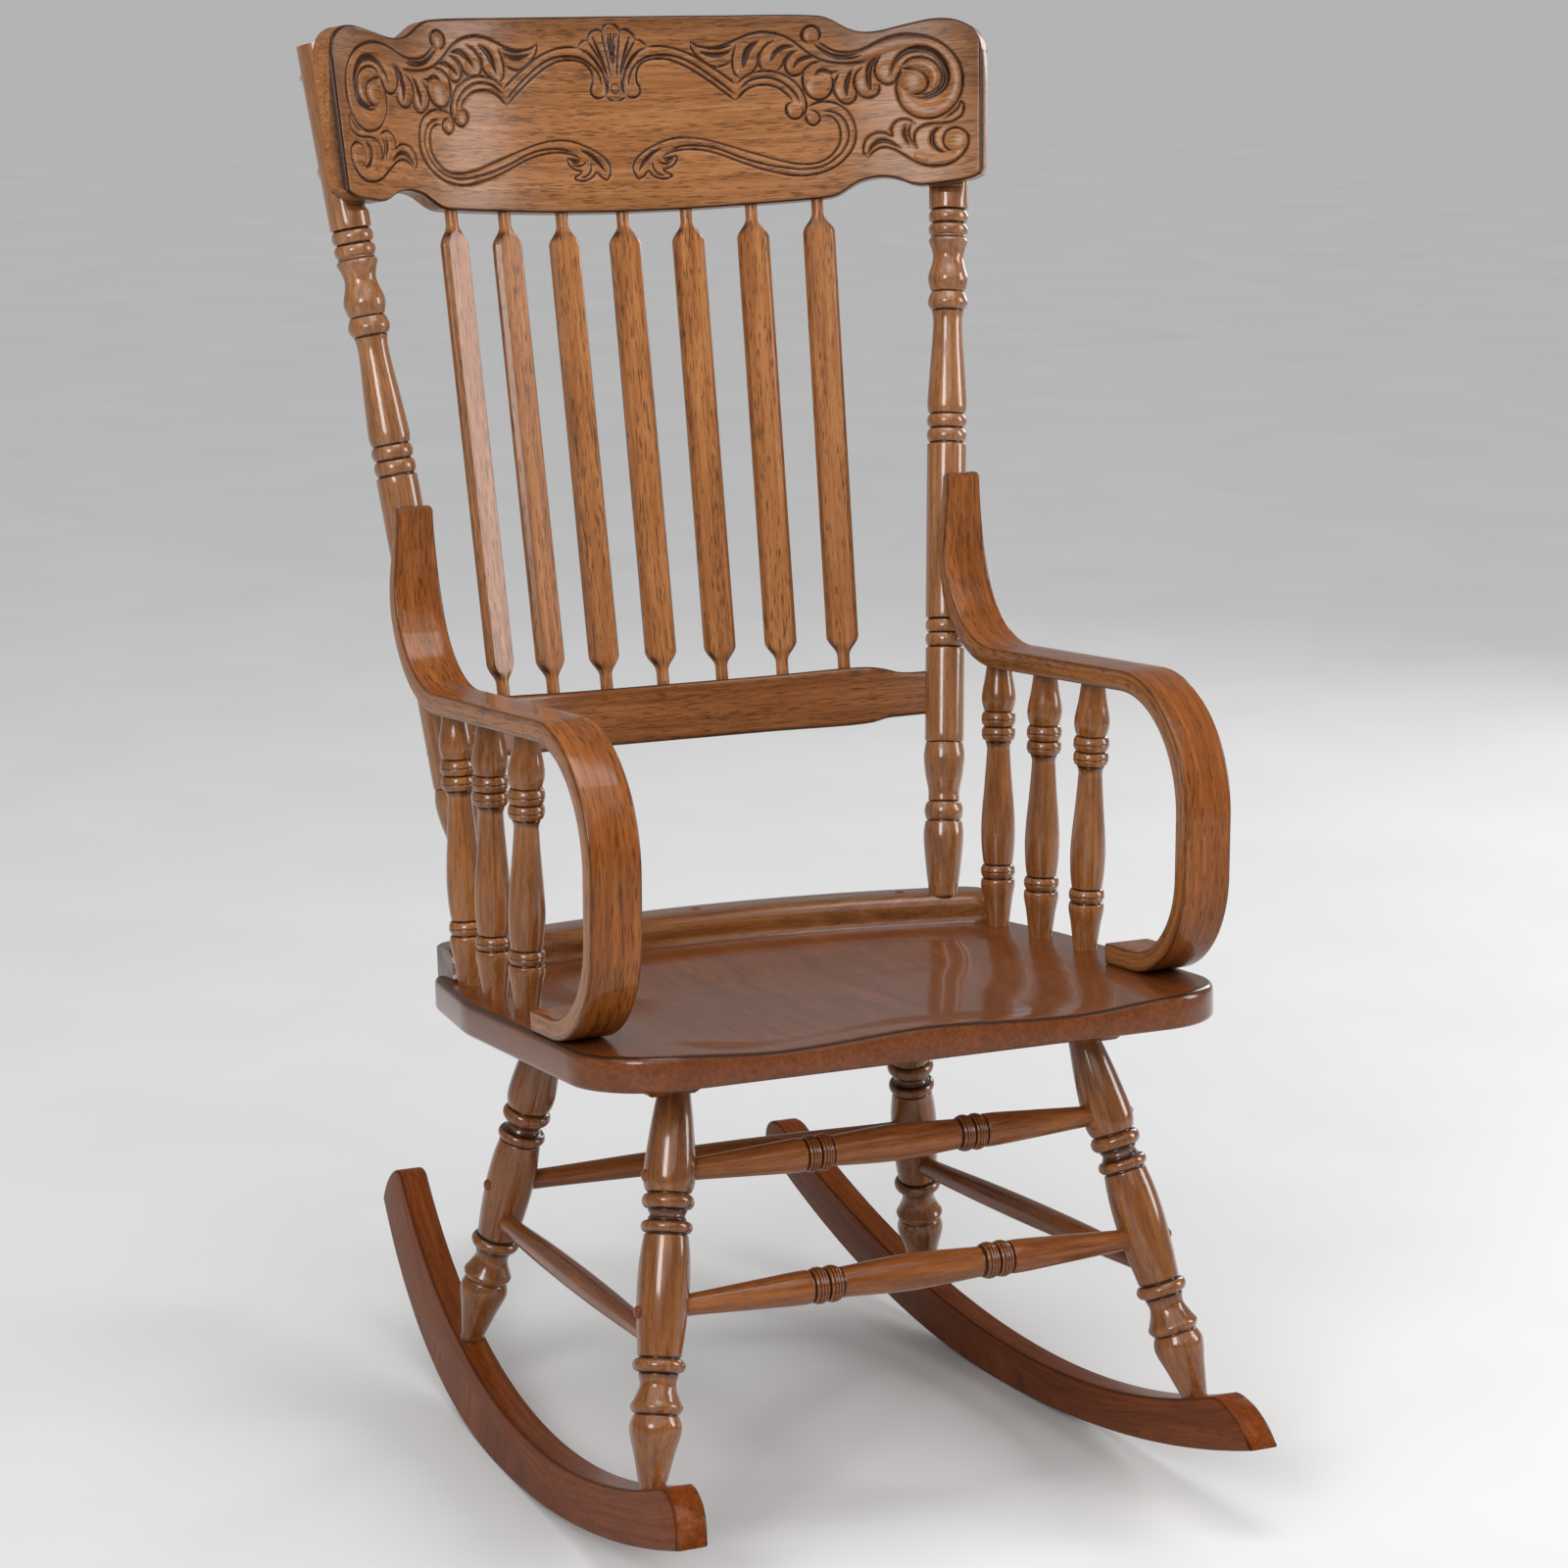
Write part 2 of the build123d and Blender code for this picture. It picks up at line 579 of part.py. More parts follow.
def arm_screws():
    places = [on_seat(ARM_X, y, SCREW_SINK - SEAT_THICK) for y in ARM_SCREWS]
    return [headed(SCREW, ARM_SCREW_LENGTH, place, up_from_seat()) for place in places]


def post_screw():
    foot, head = post_ends()
    rise = (Vector(*head) - Vector(*foot)).normalized()
    drop = RISER_HEIGHT + SEAT_THICK - SCREW_SINK
    return [headed(SCREW, POST_SCREW_LENGTH, Vector(*foot) - rise * drop, rise)]


def rocker_screws():
    """Screws from counterbores under the left rocker into the feet of its legs."""
    screws, bores = [], []
    for leg in (FRONT_LEG, REAR_LEG):
        top, foot = [Vector(*end) for end in leg_ends(leg)]
        up = (top - foot).normalized()
        place = foot - up * (FOOT_TENON[1] + ROCKER_SCREW[1])
        screws.append(headed(SCREW, ROCKER_SCREW[0], place, up))
        bores.append(rod(tuple(place), tuple(place - up * COUNTERBORE[1]), COUNTERBORE[0]))
    return screws, bores


def stretcher_fixings(leg, z):
    """Screw through a left leg into a cross stretcher, and the button over it."""
    length, cap_x = STRETCHER_SCREW
    x, y, _ = on_leg(leg, z, 0)
    head_x = x + cap_x - CAP[1] - SCREW[2]
    screw = headed(SCREW, length, (head_x, y, z), (-1, 0, 0))
    return screw, cap((x + cap_x, y, z), (1, 0, 0))


def riser_fixings():
    screws, caps = [], []
    for x in RISER_PLUG_X:
        middle = (RISER_FRONT[0] + RISER_BACK[0]) / 2
        side = (RISER_FRONT[1] + RISER_BACK[1]) / 2
        y = middle + PLUG_BACK + (side - middle) * (x / RISER_SPAN) ** 2
        place = on_seat(x, y, RISER_HEIGHT - CAP[1] - SCREW[2])
        screws.append(headed(SCREW, RISER_SCREW_LENGTH, place, -up_from_seat()))
        caps.append(cap(on_seat(x, y, RISER_HEIGHT), up_from_seat(), RISER_CAP_DOME))
    return screws, caps


# ---------------------------------------------------------------- assembly
pieces = {}


def cut(name, *tools):
    for tool in tools:
        pieces[name] = pieces[name] - tool


def cut_both(name, *tools):
    cut(name, *tools, *[mirrored(tool) for tool in tools])


def largest(shape):
    """The main body of a piece, without the chips that a cut leaves over."""
    return shape.solids().sort_by(SortBy.VOLUME)[-1]


def both_sides(shapes):
    return list(shapes) + [mirrored(shape) for shape in shapes]


def build_legs():
    pieces["rocker_left"] = rocker_blank()
    pieces["seat_cleat_left"] = cleat()
    for name, leg in (("leg_front_left", FRONT_LEG), ("leg_rear_left", REAR_LEG)):
        upper, lower = leg_tenons(leg)
        pieces[name] = leg_blank(leg)
        cut(name, pieces["rocker_left"], pieces["seat_cleat_left"])
        pieces[name] = largest(pieces[name]) + upper + lower
        cut("rocker_left", lower)
        cut("seat_cleat_left", upper)


def build_stretchers():
    """Stretchers, their sockets in the legs, and the screws and buttons at their ends."""
    screws, caps = [], []
    cross = [("front_stretcher_upper", FRONT_LEG, FRONT_STRETCHER_Z[0]),
             ("front_stretcher_lower", FRONT_LEG, FRONT_STRETCHER_Z[1]),
             ("rear_stretcher", REAR_LEG, REAR_STRETCHER_Z)]
    for name, leg, z in cross:
        start, end = cross_ends(leg, z)
        if leg is FRONT_LEG:
            pieces[name] = front_stretcher(z)
        else:
            pieces[name] = plain_stretcher(start, end)
        leg_name = "leg_front_left" if leg is FRONT_LEG else "leg_rear_left"
        screw, button = stretcher_fixings(leg, z)
        cut(leg_name, pieces[name], screw, button)
        cut_both(name, screw)
        screws.append(screw)
        caps.append(button)
    pieces["side_stretcher_left"] = plain_stretcher(*side_stretcher_ends())
    cut("leg_front_left", pieces["side_stretcher_left"])
    cut("leg_rear_left", pieces["side_stretcher_left"])
    pieces["stretcher_screws"] = both_sides(screws)
    pieces["stretcher_caps"] = both_sides(caps)


def build_seat():
    pieces["seat"] = seat_blank()
    pieces["seat_riser"] = riser_blank()
    screws, caps = riser_fixings()
    cut("seat", *screws)
    cut("seat_riser", *screws, *caps)
    pieces["riser_screws"] = screws
    pieces["riser_caps"] = caps


def build_back():
    pieces["crest_rail"] = crest()
    pieces["lower_rail"] = lower_rail()
    pieces["back_post_left"] = post_blank()
    cut("back_post_left", pieces["seat_riser"], crest_hollow(), pieces["lower_rail"])
    half = SLAT_COUNT // 2
    for index in range(-half, half + 1):
        name = f"back_slat_{index + half + 1}"
        pieces[name] = slat(index)
        cut("crest_rail", pieces[name])
        cut("lower_rail", pieces[name])
    bolts = crest_bolts()
    cut("back_post_left", *bolts)
    cut_both("crest_rail", *bolts)
    pieces["crest_bolts"] = both_sides(bolts)


def build_arms():
    pieces["arm_left"] = arm()
    bolts, screws = arm_bolt(), arm_screws()
    cut("back_post_left", pieces["arm_left"], *bolts)
    for place, ends in SPINDLES.items():
        name = f"arm_spindle_left_{place}"
        tenons = spindle_tenons(ends)
        pieces[name] = spindle_blank(ends)
        cut(name, pieces["arm_left"], pieces["seat"])
        pieces[name] = largest(pieces[name]) + tenons[0] + tenons[1]
        cut("arm_left", tenons[1])
        cut_both("seat", tenons[0])
    cut("arm_left", *bolts, *screws)
    cut_both("seat", *screws)
    pieces["arm_bolts"] = both_sides(bolts)
    pieces["arm_screws"] = both_sides(screws)


def build_hidden_screws():
    peg = post_tenon()
    pieces["back_post_left"] = pieces["back_post_left"] + peg
    cut_both("seat_riser", peg)
    cut_both("seat", peg)
    post, cleat_set = post_screw(), cleat_screws()
    cut("back_post_left", *post)
    cut_both("seat", *post, *cleat_set)
    cut("seat_cleat_left", *cleat_set)
    rocker_set, bores = rocker_screws()
    cut("rocker_left", *rocker_set, *bores)
    cut("leg_front_left", rocker_set[0])
    cut("leg_rear_left", rocker_set[1])
    pieces["post_screws"] = both_sides(post)
    pieces["cleat_screws"] = both_sides(cleat_set)
    pieces["rocker_screws"] = both_sides(rocker_set)


def add_right_side():
    for name in [name for name in pieces if "_left" in name]:
        pieces[name.replace("_left", "_right")] = mirrored(pieces[name])


def solids_of(piece):
    parts = piece if isinstance(piece, list) else [piece]
    return [solid for part in parts for solid in part.solids()]


def main():
    build_legs()
    build_stretchers()
    build_seat()
    build_back()
    build_arms()
    build_hidden_screws()
    add_right_side()
    whole = Compound(children=[solid for piece in pieces.values() for solid in solids_of(piece)])
    box = whole.bounding_box()
    shift = Location((0, -(box.min.Y + box.max.Y) / 2, -box.min.Z))
    print("shift", shift.position, "size", box.size)
    print("middle of mass", centre_of_mass(shift))
    os.makedirs("parts", exist_ok=True)
    for name, piece in pieces.items():
        solids = [shift * solid for solid in solids_of(piece)]
        shape = solids[0] if len(solids) == 1 else Compound(children=solids)
        export_step(shape, f"parts/{name}.step")


def centre_of_mass(shift):
    """Volume centre of the whole chair relative to the rockers' contact line."""
    total, moment = 0.0, Vector(0, 0, 0)
    for piece in pieces.values():
        for solid in solids_of(piece):
            total += solid.volume
            moment += solid.center(CenterOf.MASS) * solid.volume
    return moment * (1 / total)


main()
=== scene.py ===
import math

import bpy
import numpy as np
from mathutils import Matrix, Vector


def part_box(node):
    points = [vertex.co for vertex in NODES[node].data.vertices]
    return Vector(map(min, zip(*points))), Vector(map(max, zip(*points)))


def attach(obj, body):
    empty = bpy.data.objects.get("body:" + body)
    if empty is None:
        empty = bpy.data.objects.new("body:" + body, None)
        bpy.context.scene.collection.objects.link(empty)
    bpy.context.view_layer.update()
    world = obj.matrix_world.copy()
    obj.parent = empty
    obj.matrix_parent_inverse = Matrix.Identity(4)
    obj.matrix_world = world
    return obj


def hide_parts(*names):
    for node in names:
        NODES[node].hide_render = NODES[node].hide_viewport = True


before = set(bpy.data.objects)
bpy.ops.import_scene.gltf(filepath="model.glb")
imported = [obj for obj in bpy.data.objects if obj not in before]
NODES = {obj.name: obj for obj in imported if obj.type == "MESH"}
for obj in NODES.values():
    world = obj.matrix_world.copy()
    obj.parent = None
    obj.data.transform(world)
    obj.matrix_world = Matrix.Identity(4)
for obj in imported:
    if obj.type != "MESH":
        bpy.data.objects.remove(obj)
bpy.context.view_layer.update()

# All sizes below are millimetres in the part's drawing frame: +Z up, the sitter faces
# -Y, +X is the sitter's left.  SHIFT moves that frame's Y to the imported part's Y.
NOSE_Y = -365.0
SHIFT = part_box("rocker_left")[0].y * 1000 - NOSE_Y
PATTERN_SHIFT = 900
rng = np.random.default_rng(7)


# ------------------------------------------------------------------ small maths
def smooth(edge0, edge1, x):
    t = np.clip((x - edge0) / (edge1 - edge0), 0, 1)
    return t * t * (3 - 2 * t)


def unit(v):
    v = np.asarray(v, float)
    return v / np.linalg.norm(v, axis=-1, keepdims=True)


def spline(points, step):
    """Centripetal Catmull-Rom curve through points, sampled about every step."""
    p = np.asarray(points, float)
    p = np.vstack([2 * p[0] - p[1], p, 2 * p[-1] - p[-2]])
    out = []
    for i in range(1, len(p) - 2):
        a, b, c, d = p[i - 1:i + 3]
        n = max(2, int(np.ceil(np.linalg.norm(c - b) / step)))
        ka, kb, kc = (max(np.linalg.norm(q - r), 1e-6) ** 0.5 for q, r in ((b, a), (c, b), (d, c)))
        m0 = kb * ((b - a) / ka - (c - a) / (ka + kb) + (c - b) / kb)
        m1 = kb * ((c - b) / kb - (d - b) / (kb + kc) + (d - c) / kc)
        t = (np.arange(n) / n)[:, None]
        out.append((2 * t**3 - 3 * t**2 + 1) * b + (t**3 - 2 * t**2 + t) * m0
                   + (-2 * t**3 + 3 * t**2) * c + (t**3 - t**2) * m1)
    out.append(p[-2][None])
    return np.vstack(out)


def arc3(p0, p1, p2, n):
    """n + 1 points on the circle through three 2-D points."""
    p0, p1, p2 = (np.asarray(p, float) for p in (p0, p1, p2))
    m = 2 * np.array([p1 - p0, p2 - p0])
    rhs = np.array([p1 @ p1 - p0 @ p0, p2 @ p2 - p0 @ p0])
    if abs(np.linalg.det(m)) < 1e-9:
        return np.linspace(p0, p2, n + 1)
    c = np.linalg.solve(m, rhs)
    r = np.linalg.norm(p0 - c)
    a0, a1, a2 = (math.atan2(*(q - c)[::-1]) for q in (p0, p1, p2))
    turn = (a2 - a0) % (2 * math.pi)
    if (a1 - a0) % (2 * math.pi) > turn:
        turn -= 2 * math.pi
    a = a0 + turn * np.linspace(0, 1, n + 1)
    return c + r * np.c_[np.cos(a), np.sin(a)]


def inward_normals(outline):
    """Unit normals that point into a closed outline of 2-D points."""
    tangent = unit(np.roll(outline, -1, 0) - np.roll(outline, 1, 0))
    return np.c_[-tangent[:, 1], tangent[:, 0]]


def run_length(points):
    """Distance along a line of points, at each of them."""
    return np.r_[0, np.cumsum(np.linalg.norm(np.diff(points, axis=0), axis=1))]


# ------------------------------------------------------------------ meshes
def mesh_object(name, verts, faces, grain, glaze, material, replaces, smooth_angle,
                side=None):
    """A piece from millimetre vertices, with wood coordinates, a mask of dark glaze that also
    holds painted shade on the riser's top and a darkening towards the bent boards' rims, and,
    for laminated boards, a mask of their sides."""
    verts = np.asarray(verts, float).reshape(-1, 3)
    mesh = bpy.data.meshes.new(name)
    placed = (verts + (0, SHIFT, 0)) / 1000
    mesh.from_pydata(placed.tolist(), [], faces)
    put(mesh, "grain", "FLOAT_VECTOR", np.asarray(grain, float).reshape(-1, 3) / 1000, "vector")
    put(mesh, "glaze", "FLOAT", glaze, "value")
    put(mesh, "side", "FLOAT", np.zeros(len(verts)) if side is None else side, "value")
    mesh.polygons.foreach_set("use_smooth", np.ones(len(mesh.polygons), bool))
    mesh.validate(clean_customdata=False)
    mesh.update()
    mesh.set_sharp_from_angle(angle=math.radians(smooth_angle))
    obj = bpy.data.objects.new(name, mesh)
    bpy.context.scene.collection.objects.link(obj)
    mesh.materials.append(material)
    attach(obj, "root")
    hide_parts(*replaces)


def put(mesh, name, kind, values, key):
    layer = mesh.attributes.new(name, kind, "POINT")
    layer.data.foreach_set(key, np.asarray(values, np.float32).ravel())


def tube_faces(rows, cols, flipped=False):
    """Quads round a tube of rows x cols vertices, and its two end faces."""
    i, j = np.meshgrid(np.arange(rows - 1), np.arange(cols), indexing="ij")
    k = (j + 1) % cols
    f = np.stack([i * cols + j, i * cols + k, (i + 1) * cols + k, (i + 1) * cols + j], -1)
    start = list(range(cols))[::-1]
    end = [(rows - 1) * cols + j for j in range(cols)]
    faces = f.reshape(-1, 4).tolist() + [start, end]
    return [face[::-1] for face in faces] if flipped else faces


def offset():
    """A steady shift of the wood pattern in millimetres, different for each piece."""
    return rng.uniform(-PATTERN_SHIFT, PATTERN_SHIFT, 3)


# ------------------------------------------------------------------ turned pieces
# A pattern is a list of (shape, (distance, radius), ...); a groove is (distance, depth,
# width).
STRAIGHT_STEP = 6
BEAD_STEPS = 12
CURVE_STEP = 1.8
SAME_POINT = 0.05
GROOVE_SAMPLES = (-2.4, -1.6, -1, -0.5, 0, 0.5, 1, 1.6, 2.4)   # in groove widths
HOLLOW_REACH, HOLLOW_DEPTHS, HOLLOW_GLAZE = 4.5, (0.8, 3.4), 0.58
CORNER_REACH, CORNER_DEPTHS = 1.8, (0.45, 1.6)
GROOVE_GLAZE_SPREAD = 1.15


def outline_of(pattern):
    """Distances and radii of a turning pattern without its grooves."""
    d, r = [], []
    for shape, *stations in pattern:
        pts = np.array(stations, float)
        if shape == "straight":
            count = max(2, int(np.ptp(pts[:, 0]) / STRAIGHT_STEP))
            q = pts[0] + (pts[-1] - pts[0]) * np.linspace(0, 1, count)[:, None]
        elif shape == "bead":
            q = arc3(*pts, BEAD_STEPS)
        else:
            q = spline(pts, CURVE_STEP)
        if d and math.hypot(q[0, 0] - d[-1], q[0, 1] - r[-1]) < SAME_POINT:
            q = q[1:]
        d.extend(q[:, 0])
        r.extend(q[:, 1])
    return np.array(d), np.array(r)


def highest_near(d, r, reach):
    return np.array([r[np.abs(d - x) < reach].max() for x in d])


def profile(pattern, stretch, grooves):
    """(distance, radius, glaze) samples of a turning pattern with its grooves."""
    d, base = outline_of(pattern)
    if grooves:
        extra = np.array([at + k * width for at, _, width in grooves for k in GROOVE_SAMPLES])
        base = np.concatenate([base, np.interp(extra, d, base)])
        d = np.concatenate([d, extra])
        order = np.argsort(d, kind="stable")
        d, base = d[order], base[order]
    r = base.copy()
    for at, depth, width in grooves:
        r = r - depth * np.exp(-((d - at) / width) ** 2)
    hollow = smooth(*HOLLOW_DEPTHS, highest_near(d, base, HOLLOW_REACH) - r)
    corner = smooth(*CORNER_DEPTHS, highest_near(d, base, CORNER_REACH) - r)
    glaze = np.maximum(HOLLOW_GLAZE * hollow, corner)
    for at, _, width in grooves:
        line = np.exp(-((d - at) / (width * GROOVE_GLAZE_SPREAD)) ** 2)
        glaze = np.maximum(glaze, line)
    return d * stretch, r, glaze


def lathe(name, pattern, start, end, material, stretch=1.0, grooves=(), segments=48,
          extend=(0, 0), fix=None):
    """A turned piece from start towards end, its ends run on by extend."""
    d, r, glaze = profile(pattern, stretch, grooves)
    if extend[0]:
        d, r, glaze = np.r_[d[0] - extend[0], d], np.r_[r[0], r], np.r_[1.0, glaze]
    if extend[1]:
        d, r, glaze = np.r_[d, d[-1] + extend[1]], np.r_[r, r[-1]], np.r_[glaze, 1.0]
    start, end = np.array(start, float), np.array(end, float)
    axis = unit(end - start)
    u = unit(np.cross(axis, (0, 1, 0)) if abs(axis[1]) < 0.9 else np.cross(axis, (1, 0, 0)))
    v = np.cross(axis, u)
    a = np.linspace(0, 2 * math.pi, segments, endpoint=False)
    ring = np.cos(a)[:, None] * u + np.sin(a)[:, None] * v
    verts = start + d[:, None, None] * axis + r[:, None, None] * ring
    local = np.empty_like(verts)
    local[..., 0] = r[:, None] * np.cos(a)
    local[..., 1] = r[:, None] * np.sin(a)
    local[..., 2] = d[:, None]
    if fix is not None:
        verts = fix(verts)
    g = np.repeat(glaze[:, None], segments, 1)
    mesh_object(name, verts, tube_faces(len(d), segments), local + offset(), g, material,
                (name,), 30)


# ------------------------------------------------------------------ materials
def new_material(name):
    mat = bpy.data.materials.new(name)
    mat.use_nodes = True
    nodes, links = mat.node_tree.nodes, mat.node_tree.links
    nodes.clear()
    out = nodes.new("ShaderNodeOutputMaterial")
    shader = nodes.new("ShaderNodeBsdfPrincipled")
    links.new(shader.outputs[0], out.inputs[0])
    return mat, nodes, links, shader


def ramp(nodes, links, value, stops):
    """Colour ramp over a 0-1 value."""
    node = nodes.new("ShaderNodeValToRGB")
    elements = node.color_ramp.elements
    while len(elements) < len(stops):
        elements.new(0.5)
    for element, (at, colour) in zip(elements, stops):
        element.position = at
        element.color = (*colour, 1)
    links.new(value, node.inputs[0])
    return node.outputs[0]


def noise(nodes, links, coords, scale, detail=2.0, rough=0.5, stretch=(1, 1, 1), distortion=0.0):
    """3-D noise over coordinates in metres; scale is cells per metre."""
    m = nodes.new("ShaderNodeMapping")
    m.inputs["Scale"].default_value = [scale * s for s in stretch]
    links.new(coords, m.inputs["Vector"])
    n = nodes.new("ShaderNodeTexNoise")
    n.inputs["Scale"].default_value = 1.0
    n.inputs["Detail"].default_value = detail
    n.inputs["Roughness"].default_value = rough
    n.inputs["Distortion"].default_value = distortion
    links.new(m.outputs[0], n.inputs["Vector"])
    return n.outputs["Fac"]


def connect(links, value, socket):
    """Links a socket, or sets a number or a colour."""
    if isinstance(value, bpy.types.NodeSocket):
        links.new(value, socket)
    elif isinstance(value, (int, float)):
        socket.default_value = value
    else:
        socket.default_value = (*value, 1)


def mix(nodes, links, fac, a, b):
    node = nodes.new("ShaderNodeMix")
    node.data_type = "RGBA"
    for value, socket in ((fac, node.inputs[0]), (a, node.inputs[6]), (b, node.inputs[7])):
        connect(links, value, socket)
    return node.outputs[2]


def maths(nodes, links, op, *values, clamp=False):
    node = nodes.new("ShaderNodeMath")
    node.operation = op
    node.use_clamp = clamp
    for value, socket in zip(values, node.inputs):
        connect(links, value, socket)
    return node.outputs[0]


def swing(nodes, links, base, value, amount, clamp=False):
    """base plus a 0-1 noise value that swings it by amount about its middle."""
    if isinstance(base, bpy.types.NodeSocket):
        low = maths(nodes, links, "SUBTRACT", base, amount / 2)
    else:
        low = base - amount / 2
    return maths(nodes, links, "MULTIPLY_ADD", value, amount, low, clamp=clamp)


def bump(nodes, links, shader, height, strength, distance):
    node = nodes.new("ShaderNodeBump")
    node.inputs["Strength"].default_value = strength
    node.inputs["Distance"].default_value = distance
    links.new(height, node.inputs["Height"])
    links.new(node.outputs[0], shader.inputs["Normal"])


def attribute(nodes, name, output):
    node = nodes.new("ShaderNodeAttribute")
    node.attribute_name = name
    return node.outputs[output]


def shade(colour, factor):
    return [c * factor for c in colour]


BLACK, WHITE = (0, 0, 0), (1, 1, 1)
# Colour of the dark glaze, also laid on the riser's top as painted shade.
GLAZE_AND_SHADE = (0.030, 0.0085, 0.0024)
GLAZE_WEAR, GLAZE_STRENGTH = 0.5, 1.35
FIGURE_SWING, BAND_SWING, STREAK_SWING = 0.62, 0.55, 0.3
BLOTCH, BLOTCH_SHADE = 0.35, 0.62
PORE_STRENGTH, PORE_SHADE, PORE_CROWDING = 0.72, 0.22, 0.35
ROUGH_SPREAD, ROUGH_LOW = 0.10, 0.03
SPECULAR_PER_COAT = 0.2
LACQUER_IOR = 1.5


def wood_coordinates(nodes, links, cad, along):
    """Coordinates in metres with the grain along their Z."""
    if not cad:
        return attribute(nodes, "grain", "Vector")
    swap = nodes.new("ShaderNodeMapping")
    swap.inputs["Scale"].default_value = along
    links.new(nodes.new("ShaderNodeTexCoord").outputs["Object"], swap.inputs["Vector"])
    return swap.outputs[0]


def stain(nodes, links, p, tones, figure, streaks, patches):
    """Stained wood: broad figure, narrow bands, fine streaks and cloudy patches."""
    light, mid, dark = tones
    broad = noise(nodes, links, p, 34, 3.0, 0.55, (1, 1, 0.075), 0.6)
    bands = noise(nodes, links, p, 260, 2.0, 0.5, (1, 1, 0.05), 0.25)
    tone = swing(nodes, links, 0.5, broad, FIGURE_SWING * figure)
    tone = swing(nodes, links, tone, bands, BAND_SWING)
    tone = swing(nodes, links, tone, streaks, STREAK_SWING)
    base = ramp(nodes, links, tone, [(0.28, dark), (0.5, mid), (0.72, light)])
    cloud = maths(nodes, links, "MULTIPLY", patches, BLOTCH)
    return mix(nodes, links, cloud, base, shade(mid, BLOTCH_SHADE))


def laminations(nodes, links, p, colour, tone):
    """The glued layers that show on the sides of a bent board."""
    layers = noise(nodes, links, p, 320, 1.0, 0.5, (0.02, 1, 0.02))
    strips = ramp(nodes, links, layers,
                  [(0.40, shade(tone, 0.72)), (0.5, tone), (0.64, shade(tone, 1.15))])
    return mix(nodes, links, attribute(nodes, "side", "Fac"), colour, strips)


def open_pores(nodes, links, p):
    """Short strokes along the grain, crowded into some bands."""
    cells = noise(nodes, links, p, 820, 1.0, 0.4, (1, 1, 0.09))
    crowd = noise(nodes, links, p, 120, 1.0, 0.5, (1, 1, 0.05))
    crowded = maths(nodes, links, "MULTIPLY_ADD", crowd, PORE_CROWDING, cells)
    return ramp(nodes, links, crowded, [(0.735, BLACK), (0.83, WHITE)])


def rubbed_glaze_and_shade(nodes, links, p):
    """The dark glaze that is left in hollows and along edges, rubbed off unevenly; the same mask
    also holds painted shade on the riser's top and a darkening towards the bent boards' rims.
    """
    glaze = attribute(nodes, "glaze", "Fac")
    worn = noise(nodes, links, p, 260, 3.0, 0.6, (1, 1, 0.4))
    amount = swing(nodes, links, glaze, worn, GLAZE_WEAR, clamp=True)
    amount = maths(nodes, links, "MULTIPLY", amount, glaze, clamp=True)
    return maths(nodes, links, "MULTIPLY", amount, GLAZE_STRENGTH, clamp=True)


def wood(name, light, mid, dark, gloss, coat, pores, figure=1.0, cad=False, along=(1, 1, 1),
         side_tone=None, lacquer=0.10):
    """Stained open-grain hardwood under lacquer."""
    mat, nodes, links, shader = new_material(name)
    p = wood_coordinates(nodes, links, cad, along)
    streaks = noise(nodes, links, p, 1500, 2.0, 0.6, (1, 1, 0.06))
    patches = noise(nodes, links, p, 9, 2.0, 0.5, (1, 1, 0.5))
    colour = stain(nodes, links, p, (light, mid, dark), figure, streaks, patches)
    if side_tone:
        colour = laminations(nodes, links, p, colour, side_tone)
    pore = open_pores(nodes, links, p)
    dark_pores = maths(nodes, links, "MULTIPLY", pore, PORE_STRENGTH * pores)
    colour = mix(nodes, links, dark_pores, colour, shade(mid, PORE_SHADE))
    rough = maths(nodes, links, "MULTIPLY_ADD", patches, ROUGH_SPREAD, gloss - ROUGH_LOW)
    if not cad:
        # Glaze in hollows and along edges, with painted shade on the riser's top in the same mask.
        glaze = rubbed_glaze_and_shade(nodes, links, p)
        colour = mix(nodes, links, glaze, colour, GLAZE_AND_SHADE)
        rough = maths(nodes, links, "MULTIPLY_ADD", glaze, ROUGH_SPREAD, rough)
    bump(nodes, links, shader, maths(nodes, links, "SUBTRACT", streaks, pore), 0.16, 0.0006)
    links.new(colour, shader.inputs["Base Color"])
    links.new(rough, shader.inputs["Roughness"])
    shader.inputs["Specular IOR Level"].default_value = SPECULAR_PER_COAT * coat
    shader.inputs["Coat Weight"].default_value = coat
    shader.inputs["Coat Roughness"].default_value = lacquer
    shader.inputs["Coat IOR"].default_value = LACQUER_IOR
    return mat


def metal(name, tone):
    """Dull plated steel with scratches and stains."""
    mat, nodes, links, shader = new_material(name)
    p = nodes.new("ShaderNodeTexCoord").outputs["Object"]
    scratch = noise(nodes, links, p, 900, 3.0, 0.6, (1, 1, 0.2))
    stains = noise(nodes, links, p, 160, 2.0, 0.5)
    base = ramp(nodes, links, stains, [(0.35, shade(tone, 0.55)), (0.6, tone)])
    links.new(base, shader.inputs["Base Color"])
    rough = maths(nodes, links, "MULTIPLY_ADD", scratch, 0.3, 0.22)
    links.new(rough, shader.inputs["Roughness"])
    bump(nodes, links, shader, scratch, 0.1, 0.0002)
    shader.inputs["Metallic"].default_value = 1.0
    return mat


CREST_WOOD = wood("CrestWood", (0.40, 0.182, 0.074), (0.275, 0.112, 0.039), (0.145, 0.052, 0.016),
                  0.30, 0.30, pores=0.9, figure=0.7, lacquer=0.22)
BACK_WOOD = wood("BackWood", (0.44, 0.195, 0.074), (0.30, 0.115, 0.036), (0.15, 0.048, 0.013),
                 0.27, 0.40, pores=1.0, figure=0.75, lacquer=0.17)
